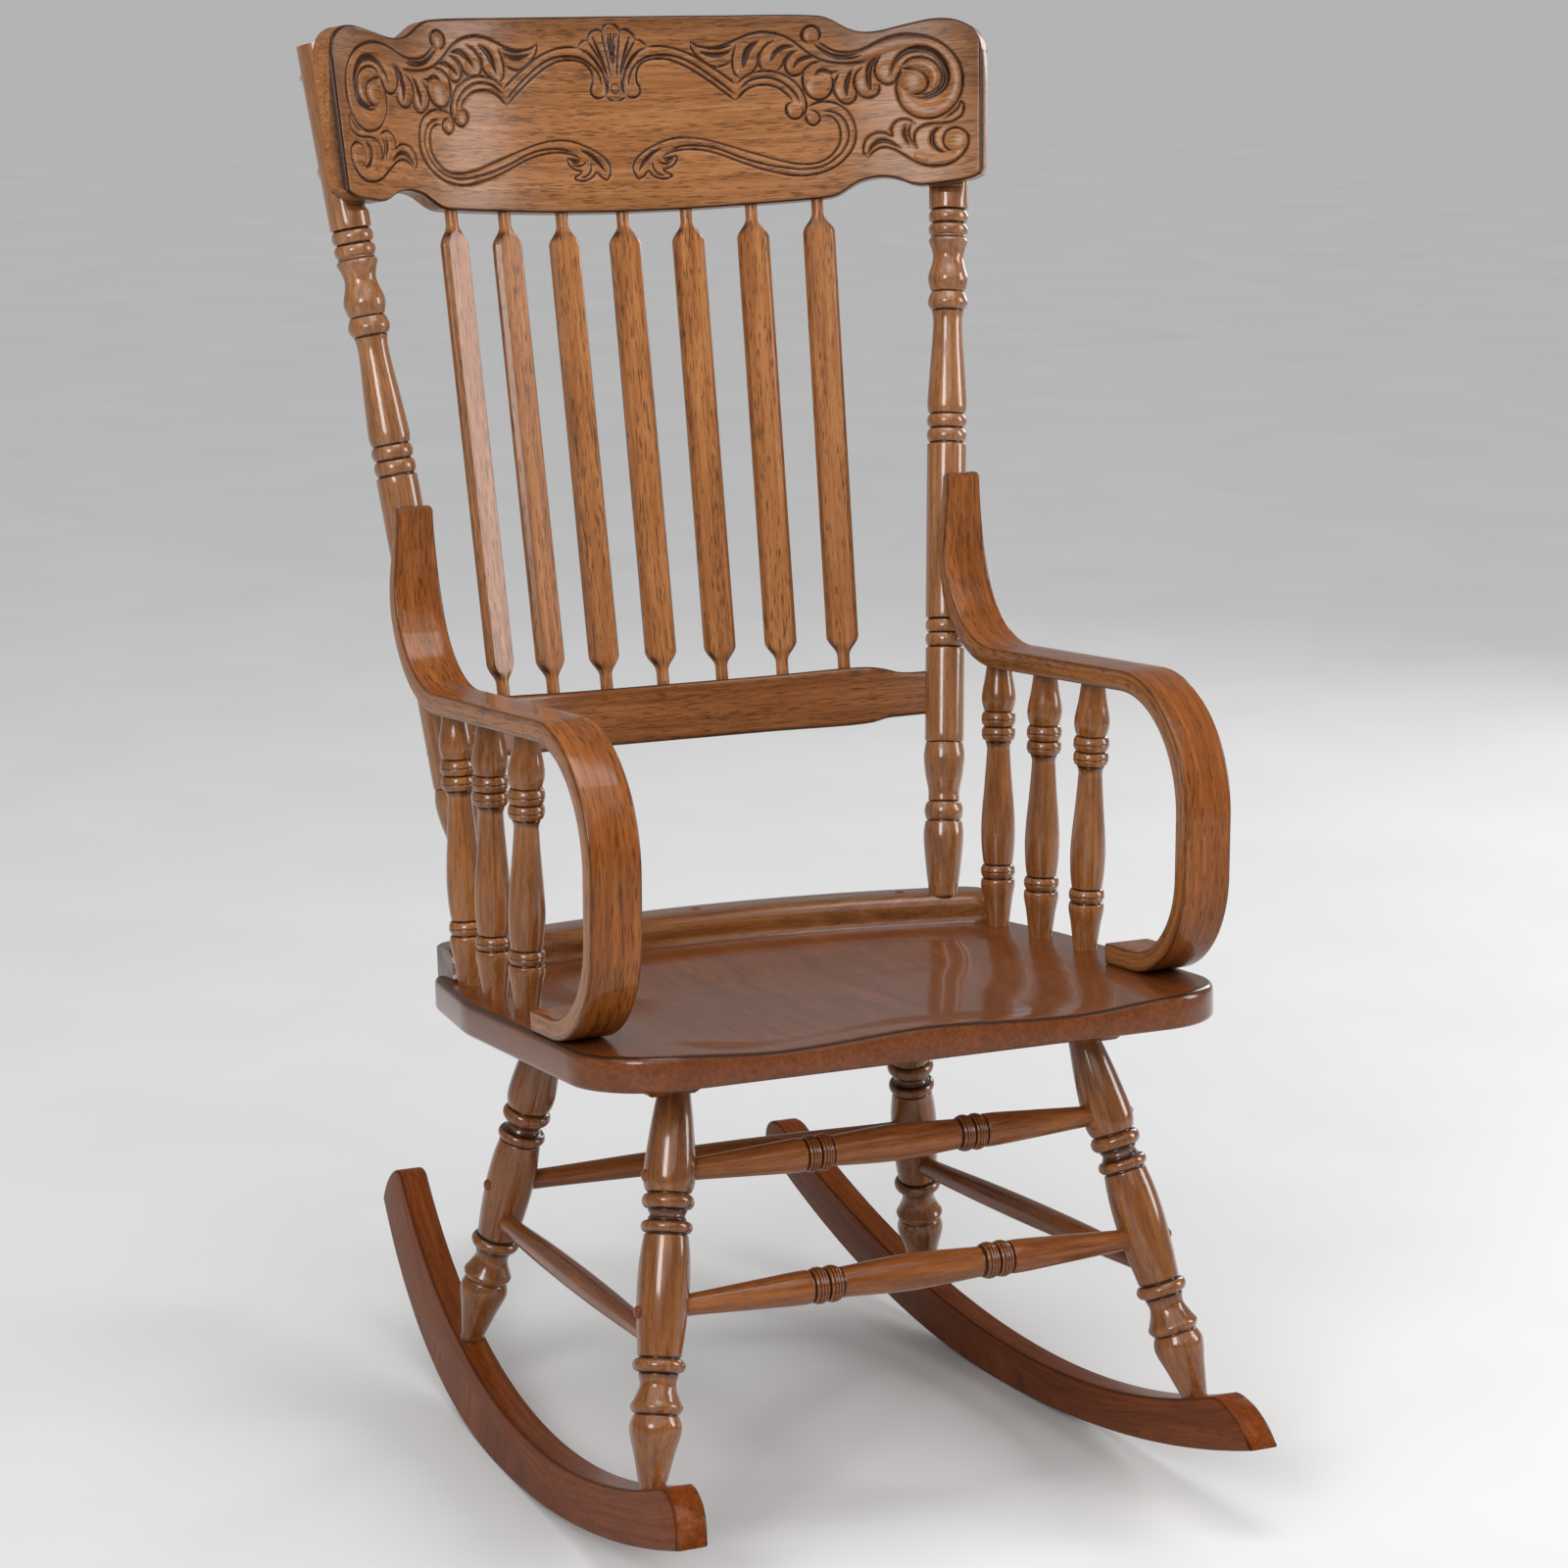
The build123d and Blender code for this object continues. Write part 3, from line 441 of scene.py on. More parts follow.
# The back's wood at about seven tenths of its tones, for the low rail: painted shade.
RAIL_WOOD_SHADED = wood("RailWoodShaded", (0.31, 0.125, 0.042), (0.21, 0.074, 0.020), (0.11, 0.032, 0.008),
                 0.27, 0.35, pores=0.9, figure=0.75, lacquer=0.17)
POST_WOOD = wood("PostWood", (0.40, 0.19, 0.078), (0.26, 0.106, 0.038), (0.12, 0.043, 0.014),
                 0.20, 0.80, pores=0.5, figure=0.8)
LEG_WOOD = wood("LegWood", (0.31, 0.120, 0.034), (0.185, 0.062, 0.015), (0.08, 0.023, 0.006),
                0.20, 0.75, pores=0.4, figure=0.9)
STRETCHER_WOOD = wood("StretcherWood", (0.30, 0.105, 0.029), (0.19, 0.058, 0.014),
                      (0.085, 0.023, 0.006), 0.22, 0.5, pores=0.4, figure=0.9)
ARM_WOOD = wood("ArmWood", (0.33, 0.115, 0.027), (0.21, 0.062, 0.012), (0.105, 0.028, 0.005),
                0.24, 0.4, pores=0.85, figure=0.6, side_tone=(0.26, 0.098, 0.027))
SPINDLE_WOOD = wood("SpindleWood", (0.36, 0.145, 0.043), (0.22, 0.078, 0.021),
                    (0.10, 0.031, 0.008), 0.20, 0.7, pores=0.4, figure=0.9)
SEAT_WOOD = wood("BoardWood", (0.20, 0.060, 0.016), (0.135, 0.037, 0.009), (0.08, 0.019, 0.005),
                 0.18, 0.5, pores=0.3, figure=0.6)
RISER_WOOD = wood("RiserWood", (0.27, 0.104, 0.029), (0.165, 0.056, 0.014),
                  (0.085, 0.025, 0.007), 0.20, 0.6, pores=0.3, figure=0.8)
ROCKER_WOOD = wood("RockerWood", (0.225, 0.062, 0.013), (0.145, 0.034, 0.006),
                   (0.08, 0.017, 0.003), 0.27, 0.14, pores=0.4, figure=0.7)
CLEAT_WOOD = wood("CleatWood", (0.26, 0.09, 0.025), (0.17, 0.05, 0.013), (0.08, 0.022, 0.006),
                  0.3, 0.3, pores=0.6, cad=True, along=(1, 0.08, 1))
PLUG_WOOD = wood("PlugWood", (0.26, 0.075, 0.020), (0.17, 0.040, 0.010), (0.09, 0.020, 0.005),
                 0.25, 0.5, pores=0.8, cad=True)
STEEL = metal("ZincSteel", (0.58, 0.55, 0.48))

# ------------------------------------------------------------------ side plane, legs, rockers
SIDE_X = 237.5
TOE_IN = 0.058
CANT = 0.187
SIDES = {"left": 1, "right": -1}


def side_x(y, z):
    return SIDE_X - TOE_IN * y - CANT * z


def flip(points, sign):
    return np.asarray(points, float) * (sign, 1, 1)


FRONT_LEG = ((-181.4, 370.0), (-270.6, 88.5))
REAR_LEG = ((115.6, 346.5), (175.6, 66.0))
LEG_LENGTH = 300.0
LEG_TURNING = [
    ("curve", (0, 12.7), (32, 17.2), (64, 20.2), (72, 19.6), (78, 17.6)),
    ("bead", (79, 16.9), (85.2, 20.4), (91, 16.6)),
    ("curve", (91.5, 15.6), (95.3, 13.7), (99, 15.6)),
    ("bead", (99.5, 16.6), (105, 20.0), (109.3, 16.6)),
    ("curve", (110, 17.2), (128, 19.4), (152.5, 20.2), (180, 18.9), (202.5, 16.8)),
    ("bead", (203.5, 16.2), (209, 20.6), (214.5, 16.4)),
    ("curve", (215, 15.8), (224, 14.0), (235, 18.0), (240.5, 20.5), (245, 18.2)),
    ("curve", (246.5, 17.6), (255.6, 20.2), (276, 15.6), (300, 10.1)),
]
LEG_GROOVES = [(78.5, 1.0, 0.7), (91.2, 0.8, 0.6), (99.2, 0.8, 0.6), (109.8, 1.0, 0.7),
               (203, 1.0, 0.7), (214.8, 0.8, 0.6), (245.8, 1.1, 0.7)]
LEG_RUN_ON = (5, 7)


def leg(name, ends, sign):
    top, foot = [flip((side_x(y, z), y, z), sign) for y, z in ends]
    stretch = np.linalg.norm(foot - top) / LEG_LENGTH
    lathe(name, LEG_TURNING, top, foot, LEG_WOOD, stretch, LEG_GROOVES, 56,
          LEG_RUN_ON)


CONTACT_Y = 54.8
ROCKER_NOSE = (-365.0, 74.8)
ROCKER_TAIL = (436.0, 109.0)
ROCKER_TOP = (2.0, 42.6)
ROCKER_TOP_RADIUS = 838.0
NOSE_TOP_Y, TAIL_TOP_Y = -318.0, 395.0
NOSE_ROUND_Y, NOSE_ROUND_DROP = -349, 9
TAIL_ROUND = (432, 128)
END_GRAIN_FROM, END_GRAIN_FADE = (35, 392), 10     # (middle, half length), length of the fade
ROCKER_THICK = 25.0
ROCKER_EDGE = 2.6
ROCKER_GRAIN_RADIUS = 850.0
EDGE_STEPS = 4


def rolling_curve(end, n):
    """Arc that leaves the contact line level and passes through end."""
    run = end[0] - CONTACT_Y
    radius = (run**2 + end[1] ** 2) / (2 * end[1])
    y = np.linspace(0, run, n)
    return np.c_[y + CONTACT_Y, radius - np.sqrt(radius**2 - y**2)]


def rocker_top(y):
    drop = np.sqrt(ROCKER_TOP_RADIUS**2 - (np.asarray(y, float) - ROCKER_TOP[0]) ** 2)
    return ROCKER_TOP[1] + ROCKER_TOP_RADIUS - drop


def rocker_outline():
    front = rolling_curve(ROCKER_NOSE, 60)
    rear = rolling_curve(ROCKER_TAIL, 60)
    nose_top = (NOSE_TOP_Y, float(rocker_top(NOSE_TOP_Y)))
    tail_top = (TAIL_TOP_Y, float(rocker_top(TAIL_TOP_Y)))
    tail = arc3(ROCKER_TAIL, TAIL_ROUND, tail_top, 14)
    nose = arc3(nose_top, (NOSE_ROUND_Y, nose_top[1] - NOSE_ROUND_DROP), ROCKER_NOSE, 16)
    y = np.linspace(TAIL_TOP_Y, NOSE_TOP_Y, 110)
    top = np.c_[y, rocker_top(y)]
    return np.vstack([front[::-1][1:], rear[1:], tail[1:], top[1:], nose[1:]])


def quarter_round(k, radius):
    """Inset and depth of step k round an edge, starting from the side."""
    a = math.pi / 2 * k / EDGE_STEPS
    return radius * (1 - math.cos(a)), radius * (1 - math.sin(a))


def eased_slab(outline, thick, edge):
    """Rings of a slab with rounded edges: (n rings, points, 3) as (across, y, z)."""
    inward = inward_normals(outline)
    rings = []
    for sign in (-1, 1):
        part = []
        for k in range(EDGE_STEPS + 1):
            inset, depth = quarter_round(k, edge)
            part.append((inset, sign * (thick / 2 - depth)))
        rings += part[::-1] if sign < 0 else part
    out = [np.c_[np.full(len(outline), x), outline + inward * inset] for inset, x in rings]
    return np.array(out)


def rocker(name, sign):
    """A flat board cut to the side view, standing in the leaning side plane."""
    rings = eased_slab(rocker_outline(), ROCKER_THICK, ROCKER_EDGE)
    y, z = rings[..., 1], rings[..., 2]
    normal = unit((1, TOE_IN, CANT))
    verts = np.stack([side_x(y, z) + rings[..., 0] / normal[0], y, z], -1) * (sign, 1, 1)
    bend = ROCKER_GRAIN_RADIUS
    angle = np.arctan2(y, bend - z)
    local = np.stack([rings[..., 0], bend - np.hypot(y, bend - z), angle * bend], -1)
    at_edge = np.abs(rings[..., 0]) > ROCKER_THICK / 2 - ROCKER_EDGE * 0.9
    past = np.abs(y - END_GRAIN_FROM[0]) - END_GRAIN_FROM[1]
    ends = smooth(0.0, 1.0, past / END_GRAIN_FADE)
    glaze = np.where(at_edge, 0.62, 0.0) + 0.4 * ends
    glaze[0] = glaze[-1] = 0.05
    mesh_object(name, verts, tube_faces(*rings.shape[:2], sign < 0), local + offset(), glaze,
                ROCKER_WOOD, (name,), 35)


# ------------------------------------------------------------------ stretchers
STRETCHER_LENGTH = 370.0
FRONT_STRETCHER_TURNING = [
    ("curve", (0, 8.5), (13, 8.5), (60, 11.2), (100, 13.4), (106, 13.2)),
    ("bead", (107, 12.2), (112.5, 14.7), (118, 12.6)),
    ("bead", (118, 12.6), (123.5, 14.7), (129, 12.2)),
    ("curve", (130, 12.0), (185, 14.6), (240, 12.0)),
    ("bead", (241, 12.2), (246.5, 14.7), (252, 12.6)),
    ("bead", (252, 12.6), (257.5, 14.7), (263, 12.2)),
    ("curve", (264, 13.2), (270, 13.4), (310, 11.2), (357, 8.5), (370, 8.5)),
]
BEAD_CENTRES = (112.5, 123.5, 246.5, 257.5)
STRETCHER_GROOVES = [(c + d, 0.75, 0.5) for c in BEAD_CENTRES for d in (-2.4, 0, 2.4)] \
    + [(c, 1.1, 0.7) for c in (106.5, 118, 129.4, 240.6, 252, 263.4)]


def on_leg(ends, z):
    (y0, z0), (y1, z1) = ends
    y = y0 + (y1 - y0) * (z - z0) / (z1 - z0)
    return np.array((side_x(y, z), y, z))


FRONT_STRETCHER_Z = {"front_stretcher_upper": 311.0, "front_stretcher_lower": 214.0}
REAR_STRETCHER_Z = 205.0
SIDE_STRETCHER_Z = (190.0, 171.0)
STRETCHER_INSET = 6
PLAIN_SWELL = ((0, 8.5), (0.08, 8.5), (0.3, 10.2), (0.5, 10.8), (0.7, 10.2), (0.92, 8.5),
               (1, 8.5))     # (part of the length, radius)


def plain(name, start, end):
    n = np.linalg.norm(np.array(end) - start)
    pattern = [("curve", *((part * n, radius) for part, radius in PLAIN_SWELL))]
    lathe(name, pattern, start, end, STRETCHER_WOOD, segments=36)


def stretchers():
    for name, z in FRONT_STRETCHER_Z.items():
        end = on_leg(FRONT_LEG, z) - (STRETCHER_INSET, 0, 0)
        lathe(name, FRONT_STRETCHER_TURNING, flip(end, -1), end, STRETCHER_WOOD,
              2 * end[0] / STRETCHER_LENGTH, STRETCHER_GROOVES, 44)
    end = on_leg(REAR_LEG, REAR_STRETCHER_Z) - (STRETCHER_INSET, 0, 0)
    plain("rear_stretcher", flip(end, -1), end)
    front, rear = on_leg(FRONT_LEG, SIDE_STRETCHER_Z[0]), on_leg(REAR_LEG, SIDE_STRETCHER_Z[1])
    step = unit(rear - front) * STRETCHER_INSET
    for side, sign in SIDES.items():
        plain(f"side_stretcher_{side}", flip(front + step, sign), flip(rear - step, sign))


# ------------------------------------------------------------------ seat and riser
SEAT_Z = 403.6
SEAT_SLOPE = 0.0743
SEAT_THICK = 28.0
SEAT_NORMAL = unit((0, SEAT_SLOPE, 1))
SEAT_ALONG = unit((0, 1, -SEAT_SLOPE))


def on_seat(x, y, z):
    """Point on the seat's sloping plane; y is measured along it, z square to it."""
    return np.stack([x, y * SEAT_ALONG[1] + z * SEAT_NORMAL[1],
                     SEAT_Z + y * SEAT_ALONG[2] + z * SEAT_NORMAL[2]], -1)


def rounded_corner(before, corner, after, radius, step, least):
    """Arc that rounds a corner between two straight lines."""
    u, v = unit(before - corner), unit(after - corner)
    half = math.acos(np.clip(u @ v, -1, 1)) / 2
    reach = radius / math.tan(half)
    centre = corner + unit(u + v) * radius / math.sin(half)
    middle = centre + unit(corner - centre) * radius
    n = max(least, int(radius * (math.pi - 2 * half) / step))
    return arc3(corner + u * reach, middle, corner + v * reach, n)


SAME_OUTLINE_POINT = 0.2


def rounded_polygon(corners, radii, step):
    """Closed outline with its corners rounded by arcs."""
    c = np.array(corners, float)
    pts = np.vstack([rounded_corner(c[i - 1], c[i], c[(i + 1) % len(c)], r, step, 3)
                     for i, r in enumerate(radii)])
    full = [pts[0]]
    for p in np.vstack([pts[1:], pts[:1]]):
        gap = np.linalg.norm(p - full[-1])
        if gap < SAME_OUTLINE_POINT:
            continue
        n = max(1, int(round(gap / step)))
        full += [full[-1] + (p - full[-1]) * (k + 1) / n for k in range(n)]
    if np.linalg.norm(full[-1] - full[0]) < SAME_OUTLINE_POINT:
        full.pop()
    return np.array(full)


SEAT_CORNERS = [(-275, -270), (275, -270), (275, 25), (256, 155), (110, 204), (-110, 204),
                (-256, 155), (-275, 25)]
SEAT_RADII = [68, 68, 150, 40, 500, 500, 40, 150]


def seat_hollow(x, y):
    """Depth of the dished top under the seat's plane."""
    across = 1 - smooth(120, 236, np.abs(x))
    along = (1 - smooth(-10, 118, y)) * (0.52 + 0.48 * smooth(-262, -190, y))
    dish = 9.0 * across * along
    thighs = 1.8 * np.exp(-((np.abs(x) - 128) / 62) ** 2) * (1 - smooth(-265, -60, y))
    pommel = 3.4 * np.exp(-(x / 62) ** 2) * (1 - smooth(-270, -110, y))
    return dish + thighs - pommel * across


SEAT_TOP_EDGE, SEAT_LOW_EDGE, SEAT_RIM = 5.5, 4.5, 9.0
SEAT_CENTRE = np.array([0.0, -40.0])
SEAT_TOP_GLAZE = (0.3, 0.95, 0.85, 0.3, 0.0)
SEAT_LOW_GLAZE = (0.0, 0.1, 0.4, 0.35, 0.15)
NEAR_CENTRE = 0.004


def seat():
    """The dished board, as rings from the middle of its top round to the middle below."""
    outline = rounded_polygon(SEAT_CORNERS, SEAT_RADII, 5.0)
    inward = inward_normals(outline)
    rings, glaze = [], []

    def ring(p, depth, dark, dished):
        hollow = seat_hollow(p[:, 0], p[:, 1]) if dished else 0.0
        rings.append(np.c_[p, np.full(len(p), -depth) - hollow])
        glaze.append(np.full(len(p), dark))
    inner = outline + inward * SEAT_RIM
    for part in np.r_[NEAR_CENTRE, np.linspace(0.0, 1.0, 52)[1:-1]]:
        ring(SEAT_CENTRE + (inner - SEAT_CENTRE) * part, 0.0, 0.0, True)
    ring(inner, 0.0, 0.0, True)
    for k, dark in enumerate(SEAT_TOP_GLAZE):
        depth, inset = quarter_round(k, SEAT_TOP_EDGE)
        ring(outline + inward * inset, depth, dark, True)
    for k, dark in enumerate(SEAT_LOW_GLAZE):
        inset, depth = quarter_round(k, SEAT_LOW_EDGE)
        ring(outline + inward * inset, SEAT_THICK - depth, dark, False)
    low = outline + inward * SEAT_LOW_EDGE
    for part in (0.9, 0.6, 0.3, NEAR_CENTRE):
        ring(SEAT_CENTRE + (low - SEAT_CENTRE) * part, SEAT_THICK, 0.1, False)
    local = np.array(rings)
    verts = on_seat(local[..., 0], local[..., 1], local[..., 2])
    mesh_object("seat_board", verts, tube_faces(*local.shape[:2], True),
                local[..., [2, 0, 1]] + offset(), glaze, SEAT_WOOD, ("seat",), 50)


RISER_FRONT = (162.0, 126.0)
RISER_BACK = (204.0, 168.0)
RISER_SPAN = 215.0


def bow(x, ends):
    middle, side = ends
    sag = middle - side
    radius = (RISER_SPAN**2 + sag**2) / (2 * sag)
    return middle - radius + np.sqrt(radius**2 - x**2)


RISER_HALF = 252
RISER_HEIGHT = 25.0
# (forward offset, height, glaze) up the front, then behind the front roll and at the back; the flat
# top behind the roll is darkened as painted shade
RISER_ROLL = [(-6, -0.6, 0.9), (-4.6, 1.2, 0.55), (-3.0, 3.6, 0.1), (-2.6, 6.4, 0), (-3.2, 9.4, 0),
              (-3.6, 12.6, 0), (-3.2, 16.0, 0), (-1.8, 19.4, 0), (0.6, 22.4, 0.05),
              (3.8, 24.3, 0.25), (6.6, RISER_HEIGHT, 0.4)]
# The flat top is darkened with the glaze colour as painted shade, so it reads darker than the lit
# front roll.
RISER_TOP_PARTS, RISER_TOP_SHADE = (0.45, 0.8), 0.25
RISER_REAR = [(-2.0, RISER_HEIGHT, 0.3), (-0.6, 24.4, 0.6), (0, 23.0, 0.5), (0, 2.0, 0.2),
              (0, -0.6, 0.5)]
CLIP_X, CLIP_Y, CLIP_SLOPE = 236, 168, 1.4


def riser():
    x = np.linspace(-RISER_HALF, RISER_HALF, 127)
    front, back = bow(x, RISER_FRONT), bow(x, RISER_BACK)
    past = np.abs(x) - CLIP_X
    back = np.where(past > 0, np.minimum(back, CLIP_Y - past * CLIP_SLOPE), back)
    roll = RISER_ROLL[-1][0]
    lines = [(front + dy, z, dark) for dy, z, dark in RISER_ROLL]
    # The flat top's rows carry painted shade.
    lines += [(front + roll + (back - front - roll) * part, RISER_HEIGHT, RISER_TOP_SHADE)
              for part in RISER_TOP_PARTS]
    lines += [(back + dy, z, dark) for dy, z, dark in RISER_REAR]
    local = np.array([np.c_[x, y, np.full(len(x), z)] for y, z, _ in lines]).transpose(1, 0, 2)
    glaze = np.tile([float(dark) for _, _, dark in lines], (len(x), 1))
    glaze[:2] += 0.3
    glaze[-2:] += 0.3
    verts = on_seat(local[..., 0], local[..., 1], local[..., 2])
    mesh_object("seat_riser_strip", verts, tube_faces(*local.shape[:2]),
                local[..., [2, 1, 0]] + offset(), glaze, RISER_WOOD,
                ("seat_riser",), 50)


# ------------------------------------------------------------------ the back's cylinder
LEAN = math.radians(12.0)
BACK_RADIUS = 420.0
BACK_THICK = 18.0
BACK_POINT = np.array((0, 355.0, 1105.6))
OUT = np.array((0, math.cos(LEAN), -math.sin(LEAN)))
UP = np.array((0, math.sin(LEAN), math.cos(LEAN)))


def on_back(arc, height, depth):
    """Point on the back: arc length from the middle, height along the lean, depth behind
    the front surface."""
    arc, height, depth = np.broadcast_arrays(arc, height, depth)
    a = arc / BACK_RADIUS
    r = BACK_RADIUS + depth
    x = r * np.sin(a)
    back = r * np.cos(a) - BACK_RADIUS
    across = x[..., None] * np.array((1, 0, 0))
    return BACK_POINT + across + back[..., None] * OUT + height[..., None] * UP


CREST_TOP = [(0, 64), (60, 63), (110, 61), (150, 58.8), (176, 56.4), (189, 54.2), (197, 50.5),
             (204, 45.8), (211, 41.4), (220, 38), (230, 36.7), (242, 37.3), (256, 39.2),
             (271, 40.9), (285, 41.8), (300, 39.9), (310, 36.2), (318, 30.8), (323, 25),
             (326.3, 17), (327, 10)]
CREST_BOTTOM = [(0, -105.5), (60, -105.2), (120, -104.6), (160, -104.4), (185, -103.6),
                (192, -101.5), (200, -97.2), (208, -93.2), (216, -91.2), (226, -90.4),
                (236, -91.6), (246, -95), (254, -99), (262, -101.2), (285, -101.4),
                (308, -100), (317, -97)]
CREST_STEP = 0.8
CREST_ROWS_HEIGHT = 170
CREST_CORNER = CREST_BOTTOM[-1]
CREST_END_SLANT = 0.0905


def crest_end(w):
    """Arc length of the crest's end at height w."""
    return float(CREST_CORNER[0]) + (w - CREST_CORNER[1]) * CREST_END_SLANT


def half_curve(points, x):
    q = spline(points, 2.0)
    return np.interp(np.abs(x), q[:, 0], q[:, 1])


